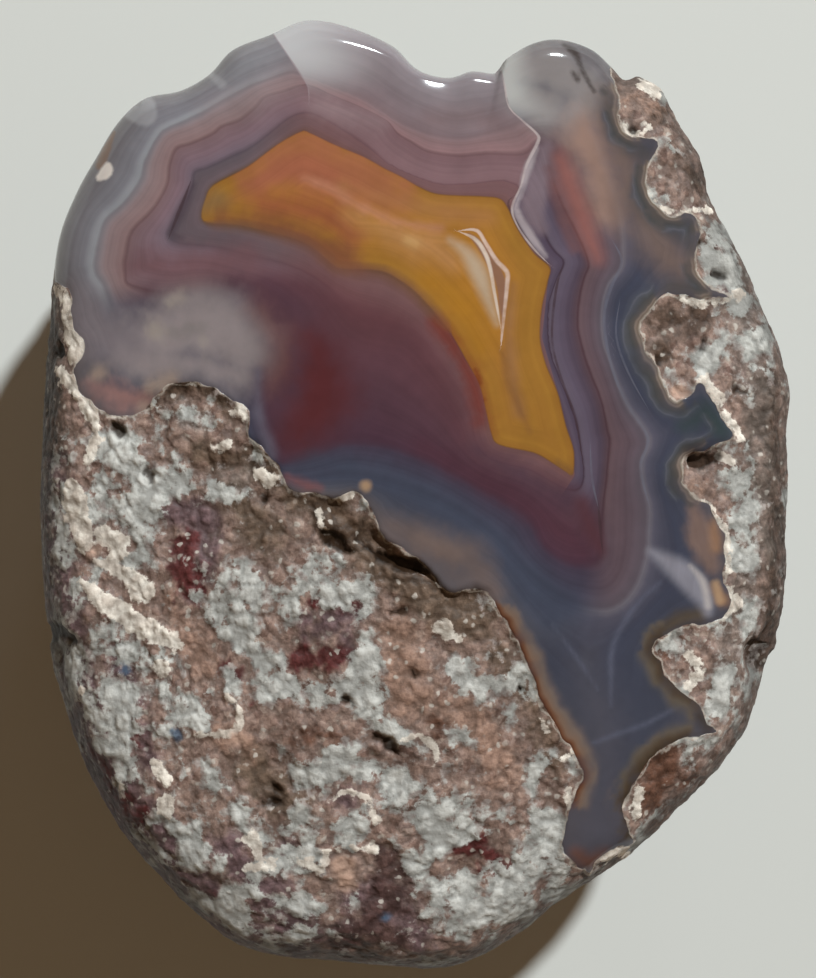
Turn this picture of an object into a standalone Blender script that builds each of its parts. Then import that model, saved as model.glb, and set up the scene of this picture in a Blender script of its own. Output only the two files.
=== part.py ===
"""A face-polished agate nodule, lying on its natural back.

It is one solid: banded chalcedony with the host rock still grown to it. The face is ground to a low dome
and polished round the edge, and the back is natural rind with one small flat spot to rest on.
Outlines and sizes are in millimetres, x to the right and y up the face; the solid itself is in metres, z up.
"""

import math

import bmesh
import bpy
import numpy as np
from mathutils import Vector, noise

MM = 0.001

# Driving dimensions, in millimetres
BACK_DEPTH = 21.0  # from the plane of the widest outline down to the natural back
FLAT_CUT = 0.6  # what the flat spot takes off the back
DOME_RISE = 3.4  # middle of the face above the shoulder of its rounded edge
EDGE_RADIUS = 3.2  # mean rounding of the polished edge
EDGE_SWING = 1.7  # how much wider the rounding gets towards the lower left
EDGE_WIDEST = math.radians(225)
BACK_FULLNESS = 0.88  # 1 makes the back half an ellipse, less makes it fuller
LOBE_FADE = 5  # how fast the outline's lobes die away towards the middle
SMOOTH_HARMONICS = 3  # what is left of the outline at the middle

ROCK_RECESS = 0.3  # the softer host rock polishes lower than the agate
ROCK_STEP = (-0.3, 0.9)  # the drop lies between these distances inside the contact
ROCK_ROUGH = 0.3
ROCK_GRAIN = 3.6
FACE_BLEND = 2.0  # relief on the face grows over this height above the widest outline
CREVICE_DEPTH = 0.9
CREVICE_WIDTH = 1.9
CREVICE_STEP = (-0.5, 0.5)  # it is open on the rock's side, from and to these distances inside the contact
PIT_WARP = 1.5  # how far noise pushes a pit's edge about
KNOB_HEIGHT = 1.5  # the agate's own rind is knobbly
KNOB_SIZE = 7.5
KNOB_SINK = 0.6
KNOB_ROUNDNESS = 1.35
KNOB_GROOVE = 0.25
FACET_HEIGHT = 1.9  # the host rock is broken in blunt facets
FACET_SIZE = 7.5
FACET_SINK = 0.2
FACET_SLOPE = 1.6
FACET_SHARPNESS = 9
LUMP_HEIGHT = 1.6  # both sit on broad lumps
LUMP_SIZE = 17.0
FINER = 2.35  # each relief has a second pattern, this much finer
FINER_SHARE = 0.4  # and this much as high
BLOCK_BLEND = 3.0  # rind and rock run into each other this far either side of the contact
RIND_START = 1.2  # below the widest outline, where polish gives way to rind
RIND_BLEND = 5.0
WORN_REACH = (10.5, 19.0)  # round the flat spot the rind is worn smooth, fading out between these
FACET_SEED = 1796062174  # noise_vector is seeded with the clock unless it is given a seed of its own

BALL_SUBDIVISIONS = 6
FACE_DENSITY = 1.35  # how many more points the face and its edge have, for their area, than the back
DENSE_TO = 2.2  # as far along the section as those go
KEPT_FACES = 0.465  # share of the triangles that the finished solid keeps
SLIVER = 0.1  # points closer than this are merged
BENCH_SIZE = 60.0

# The widest outline, clockwise from the left end of the upper left shoulder
OUTLINE = [
    (-26.9, 14.4), (-26.3, 19.0), (-25.0, 22.4), (-23.6, 24.9), (-22.0, 27.5), (-20.0, 29.3),
    (-17.3, 29.9), (-15.2, 31.1), (-13.5, 32.9), (-10.8, 34.0), (-8.0, 35.1), (-4.9, 34.6),
    (-1.7, 33.2), (0.2, 31.4), (2.4, 30.8), (4.2, 31.3), (6.1, 31.2), (6.7, 32.2),
    (8.7, 33.4), (10.7, 33.7), (13.0, 33.0), (14.5, 31.7), (15.5, 30.7), (16.6, 30.9),
    (18.2, 29.9), (19.4, 27.6), (21.1, 24.9), (21.8, 22.1), (22.8, 19.9), (24.3, 17.3),
    (25.3, 14.8), (26.7, 11.5), (27.7, 8.1), (27.5, 4.8), (27.6, 1.1), (27.4, -2.6),
    (27.5, -4.8), (27.2, -8.4), (26.7, -10.3), (26.7, -11.2), (26.0, -12.2), (25.2, -15.2),
    (24.3, -17.6), (21.8, -20.9), (19.3, -23.3), (16.9, -25.7), (14.0, -27.9), (10.7, -30.0),
    (7.5, -32.5), (4.3, -34.3), (1.1, -35.1), (-3.7, -34.6), (-8.9, -34.2), (-12.7, -33.4),
    (-15.7, -31.3), (-18.7, -28.4), (-21.7, -24.8), (-24.0, -20.7), (-25.8, -16.0), (-27.0, -11.2),
    (-27.6, -5.8), (-27.7, -1.5), (-27.6, 2.7), (-27.2, 10.7),
]

# Where the agate ends against the big block of host rock, from the left edge to the tail at the lower right
LOWER_CONTACT = [
    (-28.0, 15.3), (-25.5, 14.6), (-25.6, 12.8), (-24.4, 10.9), (-25.3, 9.4), (-23.9, 7.2),
    (-22.0, 6.0), (-19.9, 6.8), (-18.0, 8.4), (-15.9, 8.0), (-12.8, 6.8), (-12.4, 4.3),
    (-10.1, 2.1), (-8.9, 0.2), (-5.6, 0.1), (-3.2, -0.6), (-2.4, -3.0), (0.4, -4.9),
    (2.0, -7.0), (4.6, -6.8), (6.4, -8.9), (7.9, -11.7), (9.1, -14.4), (11.0, -18.0),
    (12.2, -20.6), (11.3, -24.3), (10.9, -26.1), (12.6, -28.6), (14.0, -34.0), (0.0, -40.0),
    (-24.0, -34.0), (-34.0, -10.0),
]

# The lobed rind down the right side, from the top to the tail
RIGHT_CONTACT = [
    (15.0, 32.6), (15.0, 28.8), (16.2, 26.5), (18.3, 26.4), (17.2, 24.1), (17.8, 21.7),
    (20.1, 20.5), (21.2, 19.6), (20.9, 16.5), (23.6, 14.7), (21.0, 14.7), (18.1, 14.1),
    (17.0, 11.9), (18.4, 9.9), (18.7, 7.3), (20.6, 7.3), (22.3, 7.2), (23.4, 4.5),
    (21.3, 3.2), (19.8, 1.4), (21.3, -0.6), (22.8, -3.6), (23.0, -7.5), (21.6, -9.4),
    (18.3, -10.7), (18.4, -13.4), (20.7, -15.2), (22.3, -17.6), (18.5, -18.8), (16.4, -21.0),
    (15.7, -23.7), (15.9, -26.0), (13.3, -28.0), (20.0, -32.0), (34.0, -12.0), (34.0, 14.0),
    (24.0, 34.0),
]

# The open crevice between agate and rock, in the middle of the lower contact
CREVICE = [(-5.4, -0.8), (-4.2, -2.9), (-1.4, -4.0), (1.0, -5.5), (2.3, -7.2), (5.0, -7.2)]

# Larger pits in the rock of the face: centre, radius and depth
PITS = [
    ((-19.2, 5.2), 2.4, 0.5),
    ((-13.0, 2.4), 2.4, 0.5),
    ((-26.6, -11.8), 2.4, 0.7),
    ((1.4, -9.8), 2.2, 0.5),
    ((-10.6, -20.4), 2.8, 0.5),
    ((-2.0, -19.6), 2.6, 0.6),
    ((20.6, 2.4), 2.2, 0.6),
    ((26.2, -11.9), 2.2, 0.8),
    ((3.6, -27.5), 2.8, 0.6),
]


def clear_scene():
    for obj in list(bpy.data.objects):
        bpy.data.objects.remove(obj)


def closed_curve(points, steps=24):
    """Points along a smooth closed curve through the given ones."""
    knots = np.array(points, float)
    before, after, beyond = (np.roll(knots, shift, axis=0) for shift in (1, -1, -2))
    t = np.linspace(0, 1, steps, endpoint=False)[:, None, None]
    curve = 0.5 * (
        2 * knots
        + (after - before) * t
        + (2 * before - 5 * knots + 4 * after - beyond) * t**2
        + (3 * knots - before - 3 * after + beyond) * t**3
    )
    return curve.transpose(1, 0, 2).reshape(-1, 2)


def radius_tables(samples=1440):
    """Angles round the outline with its radius there, lobed as it is and smoothed."""
    curve = closed_curve(OUTLINE)
    angle = np.arctan2(curve[:, 1], curve[:, 0])
    order = np.argsort(angle)
    grid = np.linspace(-math.pi, math.pi, samples, endpoint=False)
    lobed = np.interp(grid, angle[order], np.hypot(*curve[order].T), period=2 * math.pi)
    waves = np.fft.rfft(lobed)
    waves[SMOOTH_HARMONICS + 1 :] = 0
    return grid, lobed, np.fft.irfft(waves, samples)


def half_section(place, edge, radius):
    """Share of the plan radius, and height over the widest outline, along the section.

    place runs from 0 at the face's middle to 1 at its shoulder, 2 at the outline and 3 at the back's middle.
    """
    share = edge / radius
    turn = np.clip(place - 1, 0, 1) * math.pi / 2
    under = np.clip(place - 2, 0, 1) * math.pi / 2
    reach = np.where(place < 1, place * (1 - share), 1 - share + share * np.sin(turn))
    reach = np.where(place < 2, reach, np.cos(under) ** BACK_FULLNESS)
    shoulder = EDGE_RADIUS + (edge - EDGE_RADIUS) * reach**2
    front = shoulder * np.cos(turn) + DOME_RISE * (1 - reach**2)
    back = -BACK_DEPTH * np.sin(under) ** BACK_FULLNESS
    return reach, np.where(place < 2, front, back)


def nodule_points(directions):
    """Where the smooth nodule's surface lies for directions spread over a ball, so that its faces are even.

    With it comes how far each point is set in from the widest outline.
    """
    grid, lobed, smooth = radius_tables()
    mean = smooth.mean()
    place = np.linspace(0, 3, 1501)
    reach, height = half_section(place, EDGE_RADIUS, mean)
    area = np.hypot(np.diff(reach) * mean, np.diff(height)) * (reach[1:] + reach[:-1])
    area = np.cumsum(area * np.where(place[1:] < DENSE_TO, FACE_DENSITY, 1))
    area = np.concatenate(([0], area)) / area[-1]
    place = np.interp((1 - directions[:, 2]) / 2, area, place)
    angle = np.arctan2(directions[:, 1], directions[:, 0])
    around = np.interp(angle, grid, smooth, period=2 * math.pi)
    lobes = np.interp(angle, grid, lobed, period=2 * math.pi) - around
    edge = EDGE_RADIUS + EDGE_SWING * np.cos(angle - EDGE_WIDEST)
    reach, height = half_section(place, edge, around)
    plan = reach * (around + lobes * reach**LOBE_FADE)
    set_in = (1 - reach) * around
    return np.column_stack((plan * np.cos(angle), plan * np.sin(angle), height)), set_in


def distance_to(points, line):
    """Distance in the plane of the face from each point to a line of straight pieces."""
    nearest = np.full(len(points), np.inf)
    for start, end in zip(line[:-1], line[1:]):
        along = end - start
        share = np.clip((points - start) @ along / (along @ along), 0, 1)
        nearest = np.minimum(nearest, np.hypot(*(points - start - share[:, None] * along).T))
    return nearest


def depth_inside(points, outline):
    """How deep each point lies inside a closed outline, negative outside it."""
    curve = closed_curve(outline, 4)
    ends = np.roll(curve, -1, axis=0)
    inside = np.zeros(len(points), bool)
    for start, end in zip(curve, ends):
        crosses = (start[1] > points[:, 1]) != (end[1] > points[:, 1])
        rise = end[1] - start[1] if end[1] != start[1] else 1.0
        inside ^= crosses & (points[:, 0] < start[0] + (points[:, 1] - start[1]) * (end[0] - start[0]) / rise)
    away = distance_to(points, np.vstack((curve, curve[:1])))
    return np.where(inside, away, -away)


def ramp(value, low, high):
    """0 up to low and 1 from high, with a smooth climb between them."""
    t = np.clip((value - low) / (high - low), 0, 1)
    return t * t * (3 - 2 * t)


def smooth_noise(points, size, seed):
    offset = Vector((seed * 17.3, seed * -9.1, seed * 5.7))
    return np.array([noise.noise(Vector(p) / size + offset) for p in points])


def knobs(points, size, seed):
    """Rounded knobs packed side by side: 1 at the middle of each, 0 in the grooves between them."""
    offset = Vector((seed * 11.9, seed * 3.3, seed * -7.7))
    gaps = np.array([noise.voronoi(Vector(p) / size + offset)[0][:2] for p in points])
    return np.clip(1 - KNOB_ROUNDNESS * gaps[:, 0] ** 2, 0, 1) * ramp(gaps[:, 1] - gaps[:, 0], 0, KNOB_GROOVE)


def facets(points, size, seed):
    """Blunt broken facets: each cell has its own level and slope, and runs into its neighbours in a bevel."""
    offset = Vector((seed * 5.1, seed * -4.3, seed * 9.9))
    heights = []
    for point in points:
        place = Vector(point) / size + offset
        away, centres = noise.voronoi(place)
        weights = [math.exp(FACET_SHARPNESS * (away[0] - distance)) for distance in away]
        levels = []
        for centre in centres:
            chance = noise.noise_vector(centre * 3.7)
            levels.append(chance.x + FACET_SLOPE * noise.noise_vector(centre * 2.3).dot(place - centre))
        heights.append(sum(w * level for w, level in zip(weights, levels)) / sum(weights))
    return np.array(heights)


def face_relief(points, rock):
    """Height of the polished face over its smooth form: level on agate, worn lower and pitted on rock."""
    grain = smooth_noise(points, ROCK_GRAIN, 1)
    height = ramp(rock, *ROCK_STEP) * (ROCK_ROUGH * grain - ROCK_RECESS)
    warp = [smooth_noise(points, ROCK_GRAIN, seed) for seed in (2, 3)]
    flat = points[:, :2] + PIT_WARP * np.column_stack(warp)
    for centre, radius, depth in PITS:
        away = np.hypot(*(flat - np.array(centre)).T)
        height -= depth * (1 - ramp(away, 0, radius))
    crack = (1 - ramp(distance_to(flat, np.array(CREVICE)), 0, CREVICE_WIDTH)) * ramp(rock, *CREVICE_STEP)
    return height - CREVICE_DEPTH * crack


def two_scales(pattern, points, size, seed):
    return pattern(points, size, seed) + FINER_SHARE * pattern(points, size / FINER, seed + 1)


def back_relief(points, block):
    """Height of the natural back: broad lumps, knobs where it is agate rind and facets where it is rock."""
    lumps = LUMP_HEIGHT * two_scales(smooth_noise, points, LUMP_SIZE, 4)
    rind = KNOB_HEIGHT * (two_scales(knobs, points, KNOB_SIZE, 6) - KNOB_SINK)
    broken = FACET_HEIGHT * (two_scales(facets, points, FACET_SIZE, 9) - FACET_SINK)
    share = ramp(block, -BLOCK_BLEND, BLOCK_BLEND)
    relief = lumps + rind * (1 - share) + broken * share
    return relief * ramp(np.hypot(points[:, 0], points[:, 1]), *WORN_REACH)


def nodule_material():
    material = bpy.data.materials.new("polished_agate")
    material.use_nodes = True
    shader = material.node_tree.nodes["Principled BSDF"]
    shader.inputs["Base Color"].default_value = (0.19, 0.14, 0.15, 1)
    shader.inputs["Roughness"].default_value = 0.12
    shader.inputs["Metallic"].default_value = 0.0
    return material


def rock_material():
    material = bpy.data.materials.new("host_rock")
    material.use_nodes = True
    shader = material.node_tree.nodes["Principled BSDF"]
    shader.inputs["Base Color"].default_value = (0.27, 0.19, 0.16, 1)
    shader.inputs["Roughness"].default_value = 0.55
    shader.inputs["Metallic"].default_value = 0.0
    return material


def build_nodule():
    """The whole stone as one mesh, standing with the cut plane of its flat spot at height zero."""
    ball = bmesh.new()
    bmesh.ops.create_icosphere(ball, subdivisions=BALL_SUBDIVISIONS, radius=1)
    directions = np.array([v.co.normalized() for v in ball.verts])
    points, set_in = nodule_points(directions)
    for vertex, point in zip(ball.verts, points):
        vertex.co = point
    ball.normal_update()
    normals = np.array([v.normal for v in ball.verts])
    below = -points[:, 2]
    block = depth_inside(points[:, :2], LOWER_CONTACT)
    rock = np.maximum(np.maximum(block, depth_inside(points[:, :2], RIGHT_CONTACT)), below - RIND_START)
    front = face_relief(points, rock) * ramp(-below, 0, FACE_BLEND)
    back = back_relief(points, block) * ramp(below, RIND_START, RIND_START + RIND_BLEND)
    points += normals * (front + np.minimum(back, set_in))[:, None]
    points[:, 2] += BACK_DEPTH - FLAT_CUT
    for vertex, point in zip(ball.verts, points):
        vertex.co = Vector(point) * MM
    mesh = bpy.data.meshes.new("agate_nodule")
    ball.faces.ensure_lookup_table()
    for face in ball.faces:
        face.material_index = int(np.mean([rock[v.index] for v in face.verts]) > 0)
    ball.to_mesh(mesh)
    ball.free()
    mesh.shade_smooth()
    mesh.materials.append(nodule_material())
    mesh.materials.append(rock_material())
    nodule = bpy.data.objects.new("agate_nodule", mesh)
    bpy.context.scene.collection.objects.link(nodule)
    return nodule


def build_bench_cutter():
    """A block whose top is the plane of the flat spot."""
    side = BENCH_SIZE * MM
    block = bmesh.new()
    bmesh.ops.create_cube(block, size=side)
    bmesh.ops.translate(block, verts=block.verts, vec=(0, 0, -side / 2))
    mesh = bpy.data.meshes.new("bench_cutter")
    block.to_mesh(mesh)
    block.free()
    cutter = bpy.data.objects.new("bench_cutter", mesh)
    bpy.context.scene.collection.objects.link(cutter)
    cutter.hide_render = True
    cutter.display_type = "WIRE"
    return cutter


def main():
    clear_scene()
    noise.seed_set(FACET_SEED)
    nodule = build_nodule()
    thin = nodule.modifiers.new("fewer_faces", "DECIMATE")
    thin.ratio = KEPT_FACES
    cut = nodule.modifiers.new("flat_spot", "BOOLEAN")
    cut.operation = "DIFFERENCE"
    cut.object = build_bench_cutter()
    tidy = nodule.modifiers.new("no_slivers", "WELD")
    tidy.merge_threshold = SLIVER * MM


main()
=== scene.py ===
"""The looks of a face-polished agate nodule: bands, orange core, host rock and natural rind.

Sizes are in millimetres, x to the right and y up the face, and the mesh itself is in metres, z up.
Markings are curves and strokes in pixels of the photograph, which face_mm turns into millimetres.
Colours are the ones that the finished picture should show, as 0 to 255.
"""

import math
from collections import namedtuple

import bmesh
import bpy
import numpy as np
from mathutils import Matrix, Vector, noise


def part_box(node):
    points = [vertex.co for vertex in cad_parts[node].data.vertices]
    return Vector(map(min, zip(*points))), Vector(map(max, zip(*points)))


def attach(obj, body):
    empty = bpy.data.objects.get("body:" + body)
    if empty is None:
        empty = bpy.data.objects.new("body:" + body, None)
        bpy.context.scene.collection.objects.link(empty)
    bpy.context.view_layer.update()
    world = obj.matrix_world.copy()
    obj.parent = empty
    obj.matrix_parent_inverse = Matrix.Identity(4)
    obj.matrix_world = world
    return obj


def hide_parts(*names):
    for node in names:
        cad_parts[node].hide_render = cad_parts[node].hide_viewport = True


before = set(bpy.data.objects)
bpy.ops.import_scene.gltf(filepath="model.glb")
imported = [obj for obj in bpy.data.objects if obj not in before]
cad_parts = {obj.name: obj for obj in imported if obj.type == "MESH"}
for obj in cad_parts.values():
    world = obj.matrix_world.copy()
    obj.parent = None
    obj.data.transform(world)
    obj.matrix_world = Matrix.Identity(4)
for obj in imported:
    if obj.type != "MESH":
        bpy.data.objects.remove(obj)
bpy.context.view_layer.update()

MM = 0.001
PIXELS_PER_MM = 13.5
PIXEL_ORIGIN = (415, 495)  # the pixel over the stone's own origin
PHOTO_SIZE = (816, 978)

# The stone's form, in millimetres, as the solid has it
BACK_DEPTH = 21.0  # from the plane of the widest outline down to the natural back
FLAT_CUT = 0.6
DOME_RISE = 3.4
EDGE_RADIUS = 3.2
EDGE_SWING = 1.7
EDGE_WIDEST = math.radians(225)
BACK_FULLNESS = 0.88
LOBE_FADE = 5
SMOOTH_HARMONICS = 3
FACE_DENSITY = 1.35
DENSE_TO = 2.2

ROCK_RECESS = 0.3
ROCK_STEP = (-0.3, 0.9)
ROCK_ROUGH = 0.3
ROCK_GRAIN = 3.6
FACE_BLEND = 2.0
CREVICE_DEPTH = 0.38
CREVICE_WIDTH = 1.1
CREVICE_STEP = (-0.5, 0.5)
PIT_WARP = 1.5
KNOB_HEIGHT = 1.5
KNOB_SIZE = 7.5
KNOB_SINK = 0.6
KNOB_ROUNDNESS = 1.35
KNOB_GROOVE = 0.25
FACET_HEIGHT = 1.9
FACET_SIZE = 7.5
FACET_SINK = 0.2
FACET_SLOPE = 1.6
FACET_SHARPNESS = 9
LUMP_HEIGHT = 1.6
LUMP_SIZE = 17.0
FINER = 2.35
FINER_SHARE = 0.4
BLOCK_BLEND = 3.0
RIND_START = 1.2
RIND_BLEND = 5.0
WORN_REACH = (10.5, 19.0)
FACET_SEED = 1796062174  # the solid's, without which noise_vector is seeded with the clock

# Finer relief, which only this surface has
BALL_SUBDIVISIONS = 7
FINE_DOWN_TO = 0.55  # the mesh is twice as fine from here up, in millimetres under the widest outline
CONTACT_WAVER = [(1.2, 0.3), (0.5, 0.1)]  # size and reach of the small bends in the contact
COARSE_SIZE, COARSE_HEIGHT = 3.4, 0.16  # the broken rock: broad swells
GRAIN_SIZE, GRAIN_HEIGHT = 1.35, 0.08  # grains as large as peas in the picture
FINE_SIZE, FINE_HEIGHT = 0.68, 0.08  # and smaller ones on them
COAT_SIZE, COAT_HEIGHT = 2.1, 0.07  # the pale coating
CREAM_HEIGHT = 0.16
HOLLOW_DEPTH = 0.55
BACK_ROUGHER = 0.6  # how much higher the grains stand on the back
BACK_REACH = (3.0, 8.0)
MOST_PROUD = 0.3  # nothing stands higher than this over the smooth form

OUTLINE = [
    (-26.9, 14.4), (-26.3, 19.0), (-25.0, 22.4), (-23.6, 24.9), (-22.0, 27.5), (-20.0, 29.3),
    (-17.3, 29.9), (-15.2, 31.1), (-13.5, 32.9), (-10.8, 34.0), (-8.0, 35.1), (-4.9, 34.6),
    (-1.7, 33.2), (0.2, 31.4), (2.4, 30.8), (4.2, 31.3), (6.1, 31.2), (6.7, 32.2),
    (8.7, 33.4), (10.7, 33.7), (13.0, 33.0), (14.5, 31.7), (15.5, 30.7), (16.6, 30.9),
    (18.2, 29.9), (19.4, 27.6), (21.1, 24.9), (21.8, 22.1), (22.8, 19.9), (24.3, 17.3),
    (25.3, 14.8), (26.7, 11.5), (27.7, 8.1), (27.5, 4.8), (27.6, 1.1), (27.4, -2.6),
    (27.5, -4.8), (27.2, -8.4), (26.7, -10.3), (26.7, -11.2), (26.0, -12.2), (25.2, -15.2),
    (24.3, -17.6), (21.8, -20.9), (19.3, -23.3), (16.9, -25.7), (14.0, -27.9), (10.7, -30.0),
    (7.5, -32.5), (4.3, -34.3), (1.1, -35.1), (-3.7, -34.6), (-8.9, -34.2), (-12.7, -33.4),
    (-15.7, -31.3), (-18.7, -28.4), (-21.7, -24.8), (-24.0, -20.7), (-25.8, -16.0), (-27.0, -11.2),
    (-27.6, -5.8), (-27.7, -1.5), (-27.6, 2.7), (-27.2, 10.7),
]
# Where the agate meets the rock, in pixels: the block under the agate, and the rock down its right side
LOWER_CONTACT = [
    (37, 274), (53, 280), (66, 289), (72, 306), (73, 328), (84, 342), (84, 354), (75, 364), (73, 375), (80, 390),
    (92, 399), (99, 411), (113, 416), (130, 416), (144, 408), (154, 396), (163, 387), (180, 381), (198, 381),
    (216, 388), (236, 399), (249, 410), (250, 424), (249, 438), (262, 448), (274, 460), (282, 476), (290, 488),
    (306, 492), (322, 497), (340, 496), (352, 490), (364, 494), (372, 508), (380, 528), (396, 545), (416, 557),
    (430, 570), (440, 587), (455, 591), (470, 587), (482, 588), (494, 600), (504, 617), (516, 637), (527, 660),
    (536, 684), (544, 706), (556, 727), (570, 744), (580, 764), (581, 778), (575, 796), (570, 814), (562, 844),
    (568, 858), (582, 869), (592, 876), (650, 954), (415, 1035), (91, 954), (-44, 630),
]
RIGHT_CONTACT = [
    (617, 55), (617, 94), (619, 107), (623, 130), (632, 136), (645, 135), (657, 140), (658, 147), (652, 158),
    (647, 170), (646, 181), (650, 194), (656, 207), (665, 216), (678, 216), (692, 214), (699, 220), (698, 235),
    (695, 252), (697, 270), (706, 283), (720, 291), (733, 294), (722, 299), (700, 298), (682, 295), (668, 294),
    (655, 302), (645, 314), (640, 330), (641, 345), (647, 358), (658, 367), (662, 378), (666, 391), (675, 401),
    (686, 399), (694, 391), (699, 384), (707, 388), (712, 400), (722, 414), (731, 429), (729, 438), (714, 447),
    (700, 451), (688, 457), (682, 468), (682, 482), (690, 495), (702, 502), (713, 513), (721, 530), (725, 550),
    (725, 570), (722, 584), (731, 600), (727, 612), (712, 622), (692, 625), (675, 629), (662, 637), (653, 650),
    (658, 662), (665, 676), (680, 691), (694, 702), (702, 712), (708, 725), (717, 732), (700, 736), (678, 741),
    (660, 750), (646, 763), (637, 778), (628, 793), (623, 806), (625, 824), (631, 842), (618, 848), (604, 853),
    (596, 862), (590, 873), (585, 890), (610, 954), (685, 927), (874, 657), (874, 306), (739, 36),
]
CREVICE = [(-5.4, -0.8), (-4.2, -2.9), (-1.4, -4.0), (1.0, -5.5), (2.3, -7.2), (5.0, -7.2)]
PITS = [
    ((-19.2, 5.2), 2.4, 0.5),
    ((-13.0, 2.4), 2.4, 0.5),
    ((-26.6, -11.8), 2.4, 0.7),
    ((1.4, -9.8), 2.2, 0.5),
    ((-10.6, -20.4), 2.8, 0.5),
    ((-2.0, -19.6), 2.6, 0.6),
    ((20.6, 2.4), 2.2, 0.6),
    ((26.2, -11.9), 2.2, 0.8),
    ((3.6, -27.5), 2.8, 0.6),
]

# Growth bands, in pixels: the edge of the orange core, then three band edges round it, each a closed curve
CORE_EDGE = [
    (201, 216), (205, 200), (213, 185), (247, 167), (278, 144), (302, 131), (310, 133), (333, 144),
    (364, 157), (384, 168), (402, 177), (420, 187), (439, 194), (479, 196), (499, 198), (507, 206),
    (518, 229), (534, 253), (550, 267), (548, 281), (542, 308), (540, 338), (546, 364), (558, 393),
    (566, 425), (574, 451), (573, 475), (566, 472), (552, 463), (534, 453), (499, 445), (491, 433),
    (485, 407), (479, 384), (465, 358), (455, 340), (447, 328), (420, 297), (400, 281), (379, 271),
    (341, 269), (327, 260), (310, 246), (287, 237), (256, 229), (234, 225), (207, 223),
]
FIRST_EDGE = [
    (168, 237), (175, 220), (191, 189), (194, 172), (208, 168), (231, 159), (250, 150), (270, 134),
    (289, 119), (309, 115), (329, 126), (369, 150), (388, 164), (408, 174), (438, 184), (467, 184),
    (517, 184), (552, 245), (565, 261), (556, 281), (548, 308), (550, 348), (562, 384), (574, 417),
    (580, 447), (584, 475), (578, 490), (560, 486), (530, 470), (495, 460), (478, 445), (472, 415),
    (462, 385), (445, 360), (420, 330), (390, 312), (350, 300), (310, 275), (270, 258), (220, 248),
    (185, 245),
]
SECOND_EDGE = [
    (133, 283), (128, 275), (128, 254), (133, 231), (154, 208), (166, 184), (168, 164), (175, 147),
    (190, 143), (212, 135), (222, 127), (240, 120), (256, 107), (265, 97), (285, 91), (307, 85),
    (329, 95), (361, 109), (386, 121), (396, 134), (412, 144), (428, 152), (458, 155), (487, 152),
    (523, 154), (540, 143), (552, 170), (564, 202), (578, 227), (591, 262), (586, 277), (580, 297),
    (578, 328), (590, 368), (600, 397), (606, 430), (609, 445), (606, 500), (604, 560), (575, 562),
    (548, 545), (530, 512), (480, 487), (430, 462), (390, 447), (345, 443), (317, 454), (285, 462),
    (272, 450), (262, 420), (260, 380), (262, 330), (250, 300), (210, 288), (170, 290),
]
THIRD_EDGE = [
    (113, 306), (106, 286), (96, 270), (98, 243), (104, 219), (122, 201), (137, 178), (141, 159),
    (156, 132), (165, 125), (185, 117), (205, 108), (225, 97), (245, 86), (270, 76), (290, 70),
    (305, 75), (329, 85), (361, 99), (386, 115), (408, 126), (438, 134), (467, 134), (507, 124),
    (540, 115), (575, 120), (604, 160), (622, 215), (627, 265), (611, 285), (603, 308), (603, 338),
    (613, 368), (624, 405), (647, 439), (641, 462), (643, 482), (651, 513), (650, 560), (628, 600),
    (600, 612), (565, 600), (530, 575), (495, 540), (450, 512), (400, 492), (350, 478), (300, 480),
    (268, 470), (250, 440), (235, 405), (200, 385), (150, 370), (125, 340),
]

# The two cracks across the top, each from its upper end
LEFT_CRACK = [(272, 30), (276, 38), (289, 57), (301, 75), (308, 87), (309, 104)]
RIGHT_CRACK = [
    (500, 62), (501, 69), (505, 87), (509, 107), (523, 121), (537, 134), (538, 142), (527, 164),
    (521, 186), (512, 208), (518, 227), (534, 249), (551, 266),
]

# Where each of the band colour ramps holds, as rough closed outlines; the rest takes the top's
RIGHT_ZONE = RIGHT_CRACK + [(548, 281), (542, 338), (560, 400), (575, 475), (480, 620), (480, 980), (950, 980), (950, 0), (500, 0)]
BOTTOM_ZONE = [
    (140, 292), (215, 268), (300, 268), (350, 290), (420, 322), (470, 400), (490, 452), (560, 485),
    (596, 520), (600, 575), (560, 640), (400, 600), (250, 500), (60, 420), (60, 330),
]
LEFT_FADE = (235, 335)  # pixels across, from the left ramp to the top one
BOTTOM_SOFTNESS = 1.6

# Colours along the bands: 0 the core's edge, 1 to 3 the band edges, 4 the contact or the rim
TOP_BANDS = [
    (0.0, (108, 78, 76)), (0.5, (114, 85, 87)), (0.95, (113, 84, 86)), (1.0, (107, 79, 83)),
    (1.1, (125, 97, 101)), (1.5, (122, 95, 99)), (1.9, (118, 91, 95)), (2.0, (110, 84, 87)),
    (2.15, (138, 108, 110)), (2.6, (131, 106, 108)), (3.0, (122, 105, 109)), (3.4, (124, 111, 115)),
    (4.0, (134, 125, 129)),
]
LEFT_BANDS = [
    (0.0, (98, 78, 70)), (0.2, (104, 89, 94)), (0.9, (97, 86, 92)), (1.0, (90, 79, 87)),
    (1.15, (118, 101, 111)), (1.5, (124, 101, 109)), (1.9, (122, 98, 102)), (2.0, (110, 86, 88)),
    (2.12, (135, 110, 110)), (2.6, (136, 116, 117)), (2.9, (124, 118, 123)), (3.0, (140, 139, 143)),
    (3.2, (123, 120, 126)), (3.6, (118, 114, 119)), (4.0, (110, 104, 107)),
]
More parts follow.
